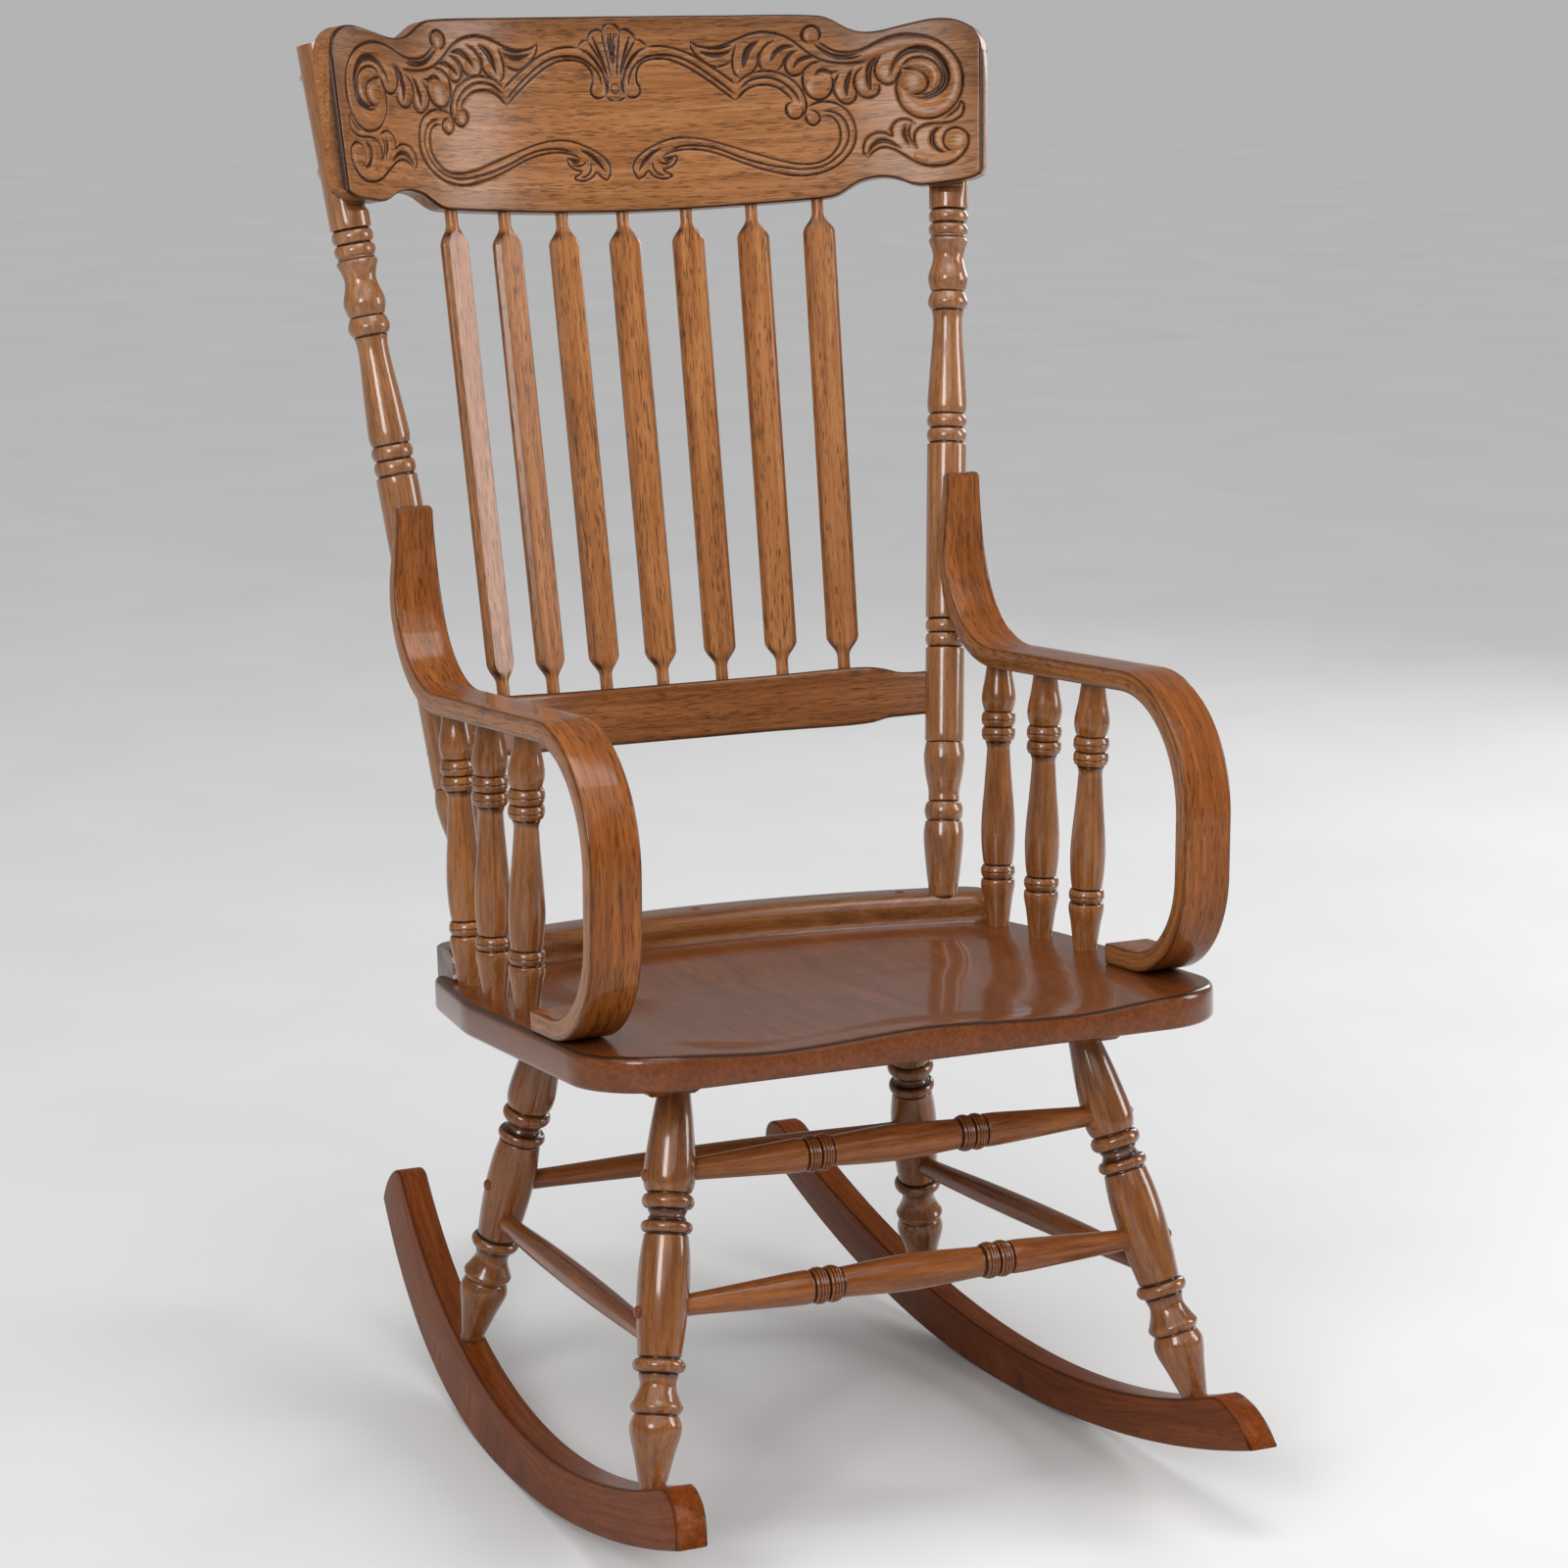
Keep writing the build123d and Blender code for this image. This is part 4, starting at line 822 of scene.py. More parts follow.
# ------------------------------------------------------------------ carving of the crest
# Strokes on the sitter's-left half, in (arc length, height).  A groove is a line of even
# width, a hollow is a scooped leaf that swells in the middle, a ridge is a raised band.
GROOVES = [
    # fan in the middle
    [(0, 57), (4, 56.2), (7.4, 53), (8.6, 49.8)],
    [(8.6, 49.8), (11, 51.6), (15, 51.4), (19.4, 48.6), (22, 45), (22.4, 42.4)],
    [(22.4, 42.4), (26, 42.3), (30, 39.6), (32.4, 36.2)],
    [(8.6, 49.8), (6.2, 36), (4, 22), (2.6, 11)],
    [(22.4, 42.4), (16, 33), (10, 22), (5.6, 11)],
    [(32.4, 36.2), (24, 32.4), (16.6, 26), (11, 17), (8.6, 8), (8, 2), (8.9, -3)],
    [(3, 48), (2.2, 36), (1.2, 22)],
    [(6.6, 11), (6.2, 4), (7.6, -1.6), (9.4, -5)],
    [(9.4, -5), (6.2, -8.4), (0, -9.9)],
    # first ribbon: upper, middle and lower lines
    [(32.4, 36.2), (40, 36.8), (50, 36), (60, 33.2), (70, 29), (80, 22.8), (90, 15.8),
     (100, 8.2), (109.5, 0.2)],
    [(12.6, 3), (13.6, 10), (17, 17), (23, 23), (31, 27.4), (41, 29), (54, 28), (65, 24.2),
     (75, 18.4), (85, 11), (95, 2.8), (107.6, -8.5)],
    [(9.4, -5), (14, -7), (19.6, -6.4), (23, -2.4), (22.6, 2), (20.7, 6), (20.5, 12), (22.4, 18),
     (26.4, 22.2), (33, 25), (42, 25.8), (51, 24.8), (60, 21.4), (70, 15.8), (80, 9), (90, 1.2),
     (100, -7.2), (107.6, -14)],
    [(107.6, -14), (112, -9.6), (117.4, -5.2), (125, -2.2), (134, -1.8), (143, -4), (150, -8.6),
     (155, -14), (157.6, -18.4)],
    [(109.5, 0.2), (115, 4.8), (122, 8.6), (130, 10), (140, 9.6), (150, 6.2), (158, 1),
     (164.4, -6), (168, -14), (169, -22), (167.4, -28.4), (162, -32.8)],
    [(112, -4.6), (120, 2), (130, 4.4), (140, 3.6), (149, -0.4), (156, -6.4), (161, -13),
     (163, -19)],
    [(157.6, -18.4), (152.4, -20.6), (151, -26.4), (154, -31.8), (160, -33.4), (165, -30),
     (165.4, -24)],
    # second ribbon
    [(168, -27.4), (167.4, -33), (169.4, -38), (174, -40.3), (178.8, -37.6), (179.8, -32.6),
     (176.4, -28.4), (171.6, -27)],
    [(169.6, -24), (177, -21.2), (186, -20.6), (195, -23.2), (203, -29.2), (208, -37.4),
     (210, -47), (209, -57), (205, -65), (198, -72.4), (188, -78.6), (176, -82.4), (163, -83.4),
     (150, -81.8), (140, -79.2), (130, -76.2), (120, -72.6), (110, -68.4), (100, -64), (90, -59.7),
     (80, -56.4), (70, -54.4), (60, -53.8), (50, -54.6), (42, -57), (37, -60.4)],
    [(181, -33.6), (187, -33.2), (192.2, -36.2), (195.6, -42), (196.6, -50), (195, -58),
     (190, -65), (182, -70.8), (172, -73.4), (160, -73), (148, -70.4), (138, -67.2), (125, -62.4),
     (112, -57.8), (100, -53.4), (88, -49.2), (76, -45.8), (64, -43.8), (52, -43.5), (42, -45.2),
     (32, -49), (22, -54), (14, -60.4), (10.6, -67), (11.6, -73), (14.6, -77.4), (19, -75.8),
     (24.4, -71), (28, -75), (34, -77.8), (41, -78), (45.6, -76), (41, -73), (38, -70.2),
     (45, -68.4), (50, -64), (51, -59.6), (44, -60), (37, -60.4)],
    [(183, -28.6), (192, -30.4), (199.6, -36.4), (203.2, -45), (203, -55), (198, -64),
     (190, -71), (178, -76.6), (162, -77.8), (146, -75.2), (130, -71.4), (110, -64.4), (95, -57.6),
     (84, -53.6), (70, -51), (56, -51), (45, -53.6)],
    [(32, -59.6), (36, -64.4), (42.6, -65.2), (48.6, -62.2)],
    [(29.4, -61), (29, -68), (33.4, -74), (41, -75.6)],
    # long line over the leaves, small ring and stem
    [(71.6, 40), (76, 36.4), (85, 33.8), (95, 34), (105, 36.2), (115, 40), (125, 43.2),
     (135, 44), (145, 42.6), (154, 39.4), (161, 35), (168, 28.8), (175, 22.4), (183, 17),
     (193, 13), (205, 10.8), (216, 10.4), (224, 11)],
    [(71.6, 40), (72, 35), (74.6, 29.6), (80, 24), (86, 19), (93, 16.4), (100, 17.6),
     (107, 20.4)],
    [(183.6, 32), (186, 38), (184.4, 43), (179.6, 46), (174, 45), (170.4, 40.6), (170.6, 34.8),
     (175, 30.8)],
    [(183.6, 32), (190, 26.8), (197, 22.6), (205, 20.6), (215, 20.4), (225, 22.4), (235, 26.2),
     (245, 29.2), (257, 30.4), (270, 28.6), (282, 24.4), (292, 18.4), (300, 10), (305.8, 0),
     (308, -12), (306, -24), (300, -34), (291, -41), (280, -44.4), (268, -43.4), (258, -38.4),
     (251.4, -30), (248.6, -20), (249.2, -10), (252.6, -3), (255, 2.6)],
    [(180.4, 29.6), (186, 24), (193, 18.6), (200, 15.8), (210, 14.6), (220, 16)],
    # leaves between the ribbon and the line
    [(112, 34.6), (108.6, 26), (107.4, 16), (109.6, 8.4), (114, 5.2)],
    [(118, 7), (125, 10.4), (129, 16), (130.4, 23), (131.6, 29)],
    [(146, 36.4), (138, 32.4), (133, 26.4), (131, 19), (132.6, 12.6), (137, 10)],
    [(146, 9.4), (151, 14), (153.4, 19), (160, 24.4), (166, 26)],
    [(163, 24.4), (157, 21), (153.4, 14.6), (155, 7.4), (160, 4.2), (166, 5.2), (171, 9.6),
     (177, 13.6), (186, 14.6)],
    # ball and the leaves towards the ear
    [(170, 9), (167.6, 1), (168.4, -8), (172, -14.6), (178.6, -18.4), (186, -17.6), (192, -12),
     (194, -4), (192.6, 1.6)],
    [(178, 1.6), (181, 6), (187, 6.8), (193, 4.4), (199, 4.6)],
    [(200, 3), (195.6, -4), (193.6, -11), (197, -19.4), (203, -24.2), (209, -23.6),
     (213, -18.4), (213.4, -12)],
    [(221, 6.4), (214.4, 1), (212, -7.6), (214, -14.6), (219, -19.8), (227, -20.8),
     (233, -16.4), (234.2, -10)],
    [(237, 14.6), (232.4, 8), (231, 0), (234, -7), (240, -11), (247, -10), (251.6, -4),
     (254, 2)],
    [(212, 5), (208, 1.6), (207, -3)],
    # big scroll on the ear
    [(253, 2), (258, 1), (264, 0), (271, -3.2), (276, -9), (276.6, -15), (273, -20),
     (267, -22.4), (261.6, -21.8)],
    [(255, 3.2), (262, 8.4), (272, 9), (281, 5.4), (287, -1), (289.6, -9), (287.6, -16),
     (283, -20.6), (276, -23.4), (268, -23.2)],
    # feather and lower scroll
    [(288, -46.2), (296, -42.4), (301.6, -38), (304.6, -33.4), (306.6, -38), (304.4, -44.6),
     (298, -48.6), (288, -50.2), (276, -49.4), (268, -50.8), (262, -55), (260.4, -62),
     (262, -69.6)],
    [(218.6, -73), (215.4, -68), (216.4, -60.4), (220.4, -55), (227, -52.2), (235, -53),
     (241, -56), (241, -50.2), (244.4, -45), (250.4, -42.6), (257, -43.8), (262, -47.4)],
    [(218.6, -73), (224, -67.8), (232, -65.2), (240, -67), (248, -72), (256, -78), (265, -83.4),
     (275, -86), (285, -86.4), (295, -83.8), (303, -78), (308, -70), (308, -63), (303, -57.4),
     (296, -55.2), (289.4, -57.8), (286, -63.4), (286.4, -69.4), (289.4, -73.4), (294, -75)],
    [(259.4, -46.6), (256, -54), (258, -63), (262.4, -69)],
]
HOLLOWS = [  # (peak half width, points)
    (1.9, [(17.6, 46.4), (13.4, 36), (8.4, 22), (5.6, 14)]),
    (1.9, [(28, 35.6), (20.4, 29.4), (14, 21), (10, 13)]),
    (1.3, [(0, 50), (0, 36), (0, 20)]),
    (3.0, [(79, 30.6), (88, 27.6), (97, 27), (108, 30)]),
    (1.6, [(83, 33.4), (95, 32.2), (108, 34.6)]),
    (4.0, [(132, 36.6), (124, 31.8), (119, 24), (116.6, 13.6)]),
    (3.0, [(163, 29.6), (153, 29.6), (146, 25.6), (140.6, 17.6)]),
    (2.4, [(181, 19), (172, 19), (165, 16.4), (160, 10.4)]),
    (2.2, [(179, 3.4), (183, 6.6), (188.6, 6), (194, 2)]),
    (2.9, [(211, 3), (207, -3), (205, -10), (205, -18)]),
    (3.6, [(233, 13.4), (227.4, 7), (225, -3), (226, -15)]),
    (4.2, [(244.6, -3), (248, 6), (254, 12.4), (263, 16.4), (273, 16.4), (282.6, 12.4),
           (289.6, 5), (293.6, -4), (293.6, -13), (289, -20.4), (281, -24.6), (270, -26.4),
           (262, -24)]),
    (2.6, [(39.4, -51.8), (30, -55.4), (22, -62), (14.6, -72)]),
    (1.5, [(38, -61.6), (43, -62.4), (49, -60.6)]),
    (2.8, [(218.6, -70), (224, -62.4), (231, -59.4), (238, -60.8), (247, -67.4)]),
    (2.5, [(253.6, -47.6), (252, -56), (255.4, -66)]),
    (3.2, [(284, -53), (277, -58), (276, -66), (280, -72.4), (287, -75.6)]),
    (1.7, [(181, 30.4), (187, 25), (195, 19.4), (206, 17.4), (218, 18.2)]),
]
RIDGES = [  # (half width, height, points)
    (4.4, 1.0, [(16, -1), (16, 8), (19, 20), (28, 30.6), (42, 32.8), (56, 31), (70, 24.4),
                (84, 15), (98, 4.2), (109, -4.6), (120, 5.6), (132, 7.4), (144, 5.6), (154, 0),
                (161.6, -7), (165.6, -16), (165, -25)]),
    (4.6, 1.0, [(174, -25), (186, -25.4), (197, -29.6), (205, -39), (206.6, -50), (203, -61.6),
                (192, -74.4), (176, -80), (160, -80.6), (146, -74), (128, -67.6), (110, -61),
                (92, -53.4), (76, -48.8), (60, -47.4), (44, -49.4), (30, -52.6), (18, -60)]),
    (6.5, 1.2, [(200, 12.6), (216, 15.4), (232, 20), (246, 23.6), (262, 24.4), (278, 19.8),
                (291, 10.6), (299, -2), (300.6, -14), (296.6, -26), (288, -34.6), (276, -38),
                (264, -34), (256, -25), (254, -14)]),
    (4.5, 1.0, [(262, 4.6), (272, 4.2), (280.6, -1.4), (283.4, -9), (281, -16.6)]),
    (5.5, 1.1, [(262, -76), (274, -81), (286, -81.4), (297, -77.6), (303, -69)]),
]
DOMES = [(0, 0.6, 3.4, 0.9), (158.6, -26, 7, 1.5), (173.6, -33.8, 6, 1.3), (180.6, -7, 12.6, 2.2),
         (178.4, 38, 7.4, 1.4), (263.4, -11, 12, 2.2), (296.6, -66.4, 10.6, 2.0),
         (120, 12.6, 9, 1.0), (141, 17, 9, 1.0), (160.6, 12, 7.4, 1.0), (203, -14, 9.5, 1.2),
         (223, -8, 10, 1.2), (243, 0, 10, 1.0), (16.6, -1.6, 6, 1.2)]
RING = (0, 0.6, 3.9)
RING_HALF, RING_DEPTH = 1.1, 1.0
GROOVE_HALF = 1.55
GROOVE_DEPTH = 1.5
HOLLOW_DEPTH = 2.2
CARVING_X, CARVING_W, CARVING_STEP = (-2, 332), (-110, 68), 0.5


def paint(field, xs, ws, points, half, depth, taper, power=1.0, swell=False, raise_up=False):
    """Presses a stroke into a height field (or raises it), only near the stroke."""
    q = spline(points, 0.7)
    run = run_length(q)
    t = run / run[-1]
    if swell:
        width = half * (0.28 + 0.72 * np.sin(math.pi * np.clip(t, 0.02, 0.98)) ** 0.7)
        level = depth * (0.45 + 0.55 * np.sin(math.pi * t) ** 0.6)
    else:
        ends = np.minimum(run, run[-1] - run)
        near = 0.55 + 0.45 * np.clip(ends / taper, 0, 1)
        width, level = half * near, depth * near
    best = np.full(field.shape, 1e9)
    wide, deep = np.zeros(field.shape), np.zeros(field.shape)
    block = 40
    for k in range(0, len(q), block):
        part = q[k:k + block + 1]
        lo, hi = part.min(0) - half - 1, part.max(0) + half + 1
        i0, i1 = np.searchsorted(xs, (lo[0], hi[0]))
        j0, j1 = np.searchsorted(ws, (lo[1], hi[1]))
        if i0 == i1 or j0 == j1:
            continue
        gx, gw = np.meshgrid(xs[i0:i1], ws[j0:j1], indexing="ij")
        d = np.hypot(gx[..., None] - part[:, 0], gw[..., None] - part[:, 1])
        idx = d.argmin(-1)
        dist = np.take_along_axis(d, idx[..., None], -1)[..., 0]
        here = best[i0:i1, j0:j1]
        closer = dist < here
        here[closer] = dist[closer]
        wide[i0:i1, j0:j1][closer] = width[k:k + block + 1][idx][closer]
        deep[i0:i1, j0:j1][closer] = level[k:k + block + 1][idx][closer]
    s = np.clip(1 - (best / np.maximum(wide, 1e-6)) ** 2, 0, 1) ** power * deep
    if raise_up:
        np.maximum(field, s, out=field)
    else:
        np.minimum(field, -s, out=field)


def carving():
    """Height field over a fine grid of the half crest, and its dark glaze."""
    xs, ws = np.arange(*CARVING_X, CARVING_STEP), np.arange(*CARVING_W, CARVING_STEP)
    low, high = np.zeros((len(xs), len(ws))), np.zeros((len(xs), len(ws)))
    for half, height, points in RIDGES:
        paint(high, xs, ws, points, half, height, 10, 0.8, raise_up=True)
    gx, gw = np.meshgrid(xs, ws, indexing="ij")
    for x, w, radius, height in DOMES:
        inside = np.clip(1 - ((gx - x) ** 2 + (gw - w) ** 2) / radius**2, 0, 1)
        np.maximum(high, height * inside**0.6, out=high)
    for points in GROOVES:
        paint(low, xs, ws, points, GROOVE_HALF, GROOVE_DEPTH, 6, 1.2)
    turn = np.linspace(0, 2 * math.pi, 25)
    ring = np.c_[RING[0] + RING[2] * np.cos(turn), RING[1] + RING[2] * np.sin(turn)]
    paint(low, xs, ws, ring, RING_HALF, RING_DEPTH, 0.1, 1.2)
    hollow = np.zeros_like(low)
    for half, points in HOLLOWS:
        paint(hollow, xs, ws, points, half, HOLLOW_DEPTH, 6, 0.9, swell=True)
    glaze = smooth(0.35, 1.25, -low) + 0.95 * smooth(0.5, 1.7, -hollow)
    return xs, ws, high + np.minimum(low, hollow), np.clip(glaze, 0, 1)


def sample(xs, ws, field, x, w):
    """Bilinear value of a height field at x, w."""
    i = np.clip((x - xs[0]) / (xs[1] - xs[0]), 0, len(xs) - 1.001)
    j = np.clip((w - ws[0]) / (ws[1] - ws[0]), 0, len(ws) - 1.001)
    i0, j0 = i.astype(int), j.astype(int)
    fi, fj = i - i0, j - j0
    return (field[i0, j0] * (1 - fi) * (1 - fj) + field[i0 + 1, j0] * fi * (1 - fj)
            + field[i0, j0 + 1] * (1 - fi) * fj + field[i0 + 1, j0 + 1] * fi * fj)


BOARD_EDGE = 2.6
BOARD_BACK_ROWS, BOARD_BACK_INSET = 14, 2.0
BOARD_SIDE = ((BOARD_EDGE + 1.0, 0.0, 0.35), (BACK_THICK / 2, 0.0, 0.25),
              (BACK_THICK - 2.0, 0.0, 0.35), (BACK_THICK - 0.6, 0.6, 0.5))  # depth, inset, glaze


def bent_board(name, cols, t_rows, top, bottom, end, relief, material, replaces):
    """A board bent round the back's cylinder: a tube along the arc of closed sections."""
    s = np.linspace(-1, 1, cols)
    ends = np.abs(s)
    s2, t2 = np.meshgrid(s, np.linspace(0, 1, t_rows), indexing="ij")
    w = -20.0 + 0 * s2
    for _ in range(4):          # the end's slant and the height settle together
        a = s2 * end(w)
        lo, hi = bottom(a), top(a)
        w = lo + (hi - lo) * t2
    a = s2 * end(w)
    rim = np.minimum.reduce([w - lo, hi - w, (1 - ends[:, None]) * end(w)])
    under = np.clip(BOARD_EDGE - rim, 0, BOARD_EDGE)
    fall = BOARD_EDGE - np.sqrt(np.maximum(BOARD_EDGE**2 - under**2, 0))
    height, dark = relief(a, w)
    keep = smooth(0.5, 4.0, rim)
    # Darker towards the rim, and from the crest's middle upwards; added into the glaze mask.
    rim_and_top_darkening = 0.34 * (1 - smooth(4, 34, rim)) + 0.25 * smooth(-45, -5, w)
    glaze = np.clip(dark * keep + 0.75 * (1 - smooth(0.3, 2.2, rim)) + rim_and_top_darkening, 0, 1)
    rows = [(a, w, fall - height * keep, glaze)]

    def row(k, depth, inset, dark_value):
        shorter = 1 - inset / np.maximum(end(w[:, k]), 1) * (ends > 0.9999)
        lower = w[:, k] + (inset if k == 0 else -inset)
        rows.append(((a[:, k] * shorter)[:, None], lower[:, None],
                     np.full((cols, 1), depth), np.full((cols, 1), dark_value)))
    for side in BOARD_SIDE:
        row(-1, *side)
    for k in np.linspace(t_rows - 1, 0, BOARD_BACK_ROWS).astype(int):
        inset = BOARD_BACK_INSET * (int(k == t_rows - 1) - int(k == 0))
        rows.append((a[:, [k]], w[:, [k]] - inset, np.full((cols, 1), BACK_THICK),
                     np.zeros((cols, 1))))
    for side in BOARD_SIDE[::-1]:
        row(0, *side)
    arc, high, depth, dark = (np.hstack(part) for part in zip(*rows))
    mesh_object(name, on_back(arc, high, depth), tube_faces(*arc.shape),
                np.stack([depth, high, arc], -1) + offset(), dark, material, replaces, 50)


def crest():
    xs, ws, field, dark = carving()

    def relief(a, w):
        x = np.abs(a)
        return sample(xs, ws, field, x, w), sample(xs, ws, dark, x, w)
    bent_board("crest_carved", int(2 * CREST_TOP[-1][0] / CREST_STEP),
               int(CREST_ROWS_HEIGHT / CREST_STEP), lambda a: half_curve(CREST_TOP, a),
               lambda a: half_curve(CREST_BOTTOM, a), crest_end, relief, CREST_WOOD,
               ("crest_rail",))


RAIL_TOP = [(0, -515.5), (90, -515.5), (180.3, -515.5), (195, -518.4), (208, -522.4), (253, -523.4)]
RAIL_LOW = [(0, -564.4), (90, -564.4), (178.9, -564.4), (193.5, -561.5), (208.2, -561),
            (253, -560.6)]


RAIL_END = 249.0


def lower_rail():
    # The rail's darker wood is painted shade.
    bent_board("lower_rail_bent", 200, 26, lambda a: half_curve(RAIL_TOP, a),
               lambda a: half_curve(RAIL_LOW, a), lambda w: RAIL_END + 0 * w,
               lambda a, _: (np.zeros_like(a), np.zeros_like(a)), RAIL_WOOD_SHADED,
               ("lower_rail",))


# ------------------------------------------------------------------ slats
SLAT_PITCH = (7.8, 7.27)
SLAT_ENDS = (-104.0, -515.5)
SLAT_WIDTH = 28.0
SLAT_DEPTH = 11.0
SLAT_NECK = 5.4
SLAT_BEVEL = 3.4
SLAT_MIDDLE = 4
BEVEL_POINTS = 5


def slat_section():
    """Bevelled rectangle of a slat's flat part, counter-clockwise."""
    hx, hy = SLAT_WIDTH / 2, SLAT_DEPTH / 2
    bevel = [(hx, hy - SLAT_BEVEL), (hx - SLAT_BEVEL, hy)]
    corners = []
    for sx, sy in ((1, 1), (-1, 1), (-1, -1), (1, -1)):
        corners += [np.array((sx * x, sy * y)) for x, y in bevel[::sx * sy]]
    return np.array([p + (q - p) * (j + 0.12) / BEVEL_POINTS * 0.94
                     for p, q in zip(corners, corners[1:] + corners[:1])
                     for j in range(BEVEL_POINTS)])


def slat(index):
    """A flat bevelled slat with round necks; index 0 is the middle one."""
    mid = BACK_THICK / 2
    degree = math.pi * BACK_RADIUS / 180
    head = on_back(index * SLAT_PITCH[0] * degree, SLAT_ENDS[0], mid)
    foot = on_back(index * SLAT_PITCH[1] * degree, SLAT_ENDS[1], mid)
    axis = unit(head - foot)
    length = np.linalg.norm(head - foot)
    turn = math.radians(index * sum(SLAT_PITCH) / 2)
    front = -(math.sin(turn) * np.array((1, 0, 0)) + math.cos(turn) * OUT)
    front = unit(front - axis * (front @ axis))
    front = -front if front[1] > 0 else front
    across = np.cross(axis, front)
    d = np.r_[-6, np.linspace(0, 44, 34), np.linspace(48, length - 48, 40),
              np.linspace(length - 44, length, 34), length + 6]
    from_end = np.minimum(d, length - d)
    swell = smooth(11, 29, from_end)
    flat = smooth(12, 22, from_end)
    half = SLAT_NECK + (SLAT_WIDTH / 2 - SLAT_NECK) * swell ** 1.15
    deep = SLAT_NECK + (SLAT_DEPTH / 2 - SLAT_NECK) * flat
    hx, hy = SLAT_WIDTH / 2, SLAT_DEPTH / 2
    flat_ring = slat_section()
    round_a = np.arctan2(flat_ring[:, 1] * hx / hy, flat_ring[:, 0])
    round_ring = np.c_[np.cos(round_a), np.sin(round_a)]
    verts, local, glaze = [], [], []
    for k in range(len(d)):
        x = round_ring[:, 0] * half[k] * (1 - flat[k]) + flat_ring[:, 0] * half[k] / hx * flat[k]
        y = round_ring[:, 1] * deep[k] * (1 - flat[k]) + flat_ring[:, 1] * deep[k] / hy * flat[k]
        verts.append(foot + axis * d[k] + np.outer(x, across) + np.outer(y, front))
        local.append(np.c_[x, y, np.full(len(x), d[k])])
        off_bevel = np.abs(np.abs(flat_ring[:, 0]) - (hx - SLAT_BEVEL * 0.5))
        corner = off_bevel < SLAT_BEVEL * 0.62
        shoulder = np.exp(-((from_end[k] - 19) / 5.0) ** 2)
        glaze.append(np.where(corner, 0.42, 0.0) * flat[k] + 0.45 * shoulder
                     + 0.35 * (from_end[k] < 3))
    name = f"back_slat_{index + SLAT_MIDDLE}"
    mesh_object(name, np.array(verts), tube_faces(len(d), len(flat_ring)),
                np.array(local) + offset(), np.array(glaze), BACK_WOOD, (name,), 28)


# ------------------------------------------------------------------ posts
POST_FOOT = np.array((214.2, 139.6, 418.0))
POST_SLOPE = (0.10448, 0.20652)
POST_LENGTH = 751.0
POST_TURNING = [
    ("curve", (0, 12.4), (25, 15.6), (50.8, 17.5), (62, 16.2)),
    ("bead", (63.5, 15.0), (71.5, 16.9), (79.5, 14.4)),
    ("curve", (80, 13.8), (88, 13.6), (104, 16.6), (119.7, 17.9), (130.5, 16.4)),
    ("straight", (132.5, 17.0), (214, 17.0)),
    ("bead", (215, 15.2), (221, 17.2), (227, 15.4)),
    ("bead", (227, 15.4), (233, 17.2), (239, 15.2)),
    ("straight", (240, 17.2), (392, 17.2)),
    ("bead", (393.5, 15.4), (399.5, 17.4), (405.5, 15.4)),
    ("bead", (406.5, 15.4), (412.5, 17.4), (418, 15.4)),
    ("curve", (419, 16.2), (425.3, 17.2), (445, 16.2), (465, 14.8), (488, 13.1), (502.8, 12.9),
     (509, 14.2)),
    ("curve", (510, 15.2), (516, 17.5), (525, 15.0)),
    ("curve", (526, 15.0), (537.2, 17.5), (550, 14.2), (556.2, 13.3), (562, 14.4), (570, 17.3)),
    ("bead", (575, 15.2), (580, 17.3), (585, 15.2)),
    ("bead", (586, 15.2), (591.5, 17.3), (597, 15.2)),
    ("straight", (598, 17.2), (751, 17.2)),
]
POST_GROOVES = [(x, 1.0, 0.65) for x in (62.8, 79.8, 131.6, 214.4, 227, 239.5, 392.8, 406, 418.5,
                                         509.5, 525.5, 573, 585.5, 597.6)]


def behind_crest(verts):
    """Flattens the front of a post's top where the crest lies against it."""
    rel = verts - BACK_POINT
    x = rel[..., 0]
    back = rel @ OUT + BACK_RADIUS
    high = rel @ UP
    radius = np.hypot(x, back)
    want = BACK_RADIUS + BACK_THICK - 0.4
    push = np.where((high > -107) & (radius < want), want - radius, 0.0)
    out = verts.copy()
    out[..., 0] += push * x / radius
    out += (push * back / radius)[..., None] * OUT
    return out


def post(side, sign):
    rise = unit((POST_SLOPE[0], POST_SLOPE[1], 1))
    head = POST_FOOT + rise * POST_LENGTH
    lathe(f"back_post_{side}", POST_TURNING, flip(POST_FOOT, sign), flip(head, sign), POST_WOOD,
          grooves=POST_GROOVES, segments=56, extend=(4, 0), fix=behind_crest)


# ------------------------------------------------------------------ arms
ARM_X = 252.0
ARM_WIDTH = 42.0
ARM_TIP_WIDTH = 31.7
ARM_THICK = 17.0
ARM_TIP_THICK = 11.0
ARM_PATH = [(186.0, 779.0), (186.0, 625.0), (-238.5, 659.0), (-238.5, 430.0), (-118.0, 420.9)]
ARM_BENDS = [92.0, 95.0, 85.0]


ARM_EDGE = 2.4
ARM_TIP_RUN = 160      # how far the tapered tip at the rear can reach along the path
ARM_NARROW_FROM, ARM_THIN_FROM = 690, 640


def filleted(points, radii, step):
    """Open path with its corners rounded."""
    p = np.array(points, float)
    out = [p[0]]

    def straight_to(end):
        gap = end - out[-1]
        n = max(2, int(np.linalg.norm(gap) / step))
        out.extend([out[-1] + gap * (k + 1) / n for k in range(n)])
    for i, r in enumerate(radii, start=1):
        bend = rounded_corner(p[i - 1], p[i], p[i + 1], r, step, 4)
        straight_to(bend[0])
        out.extend(bend[1:])
    straight_to(p[-1])
    return np.array(out)


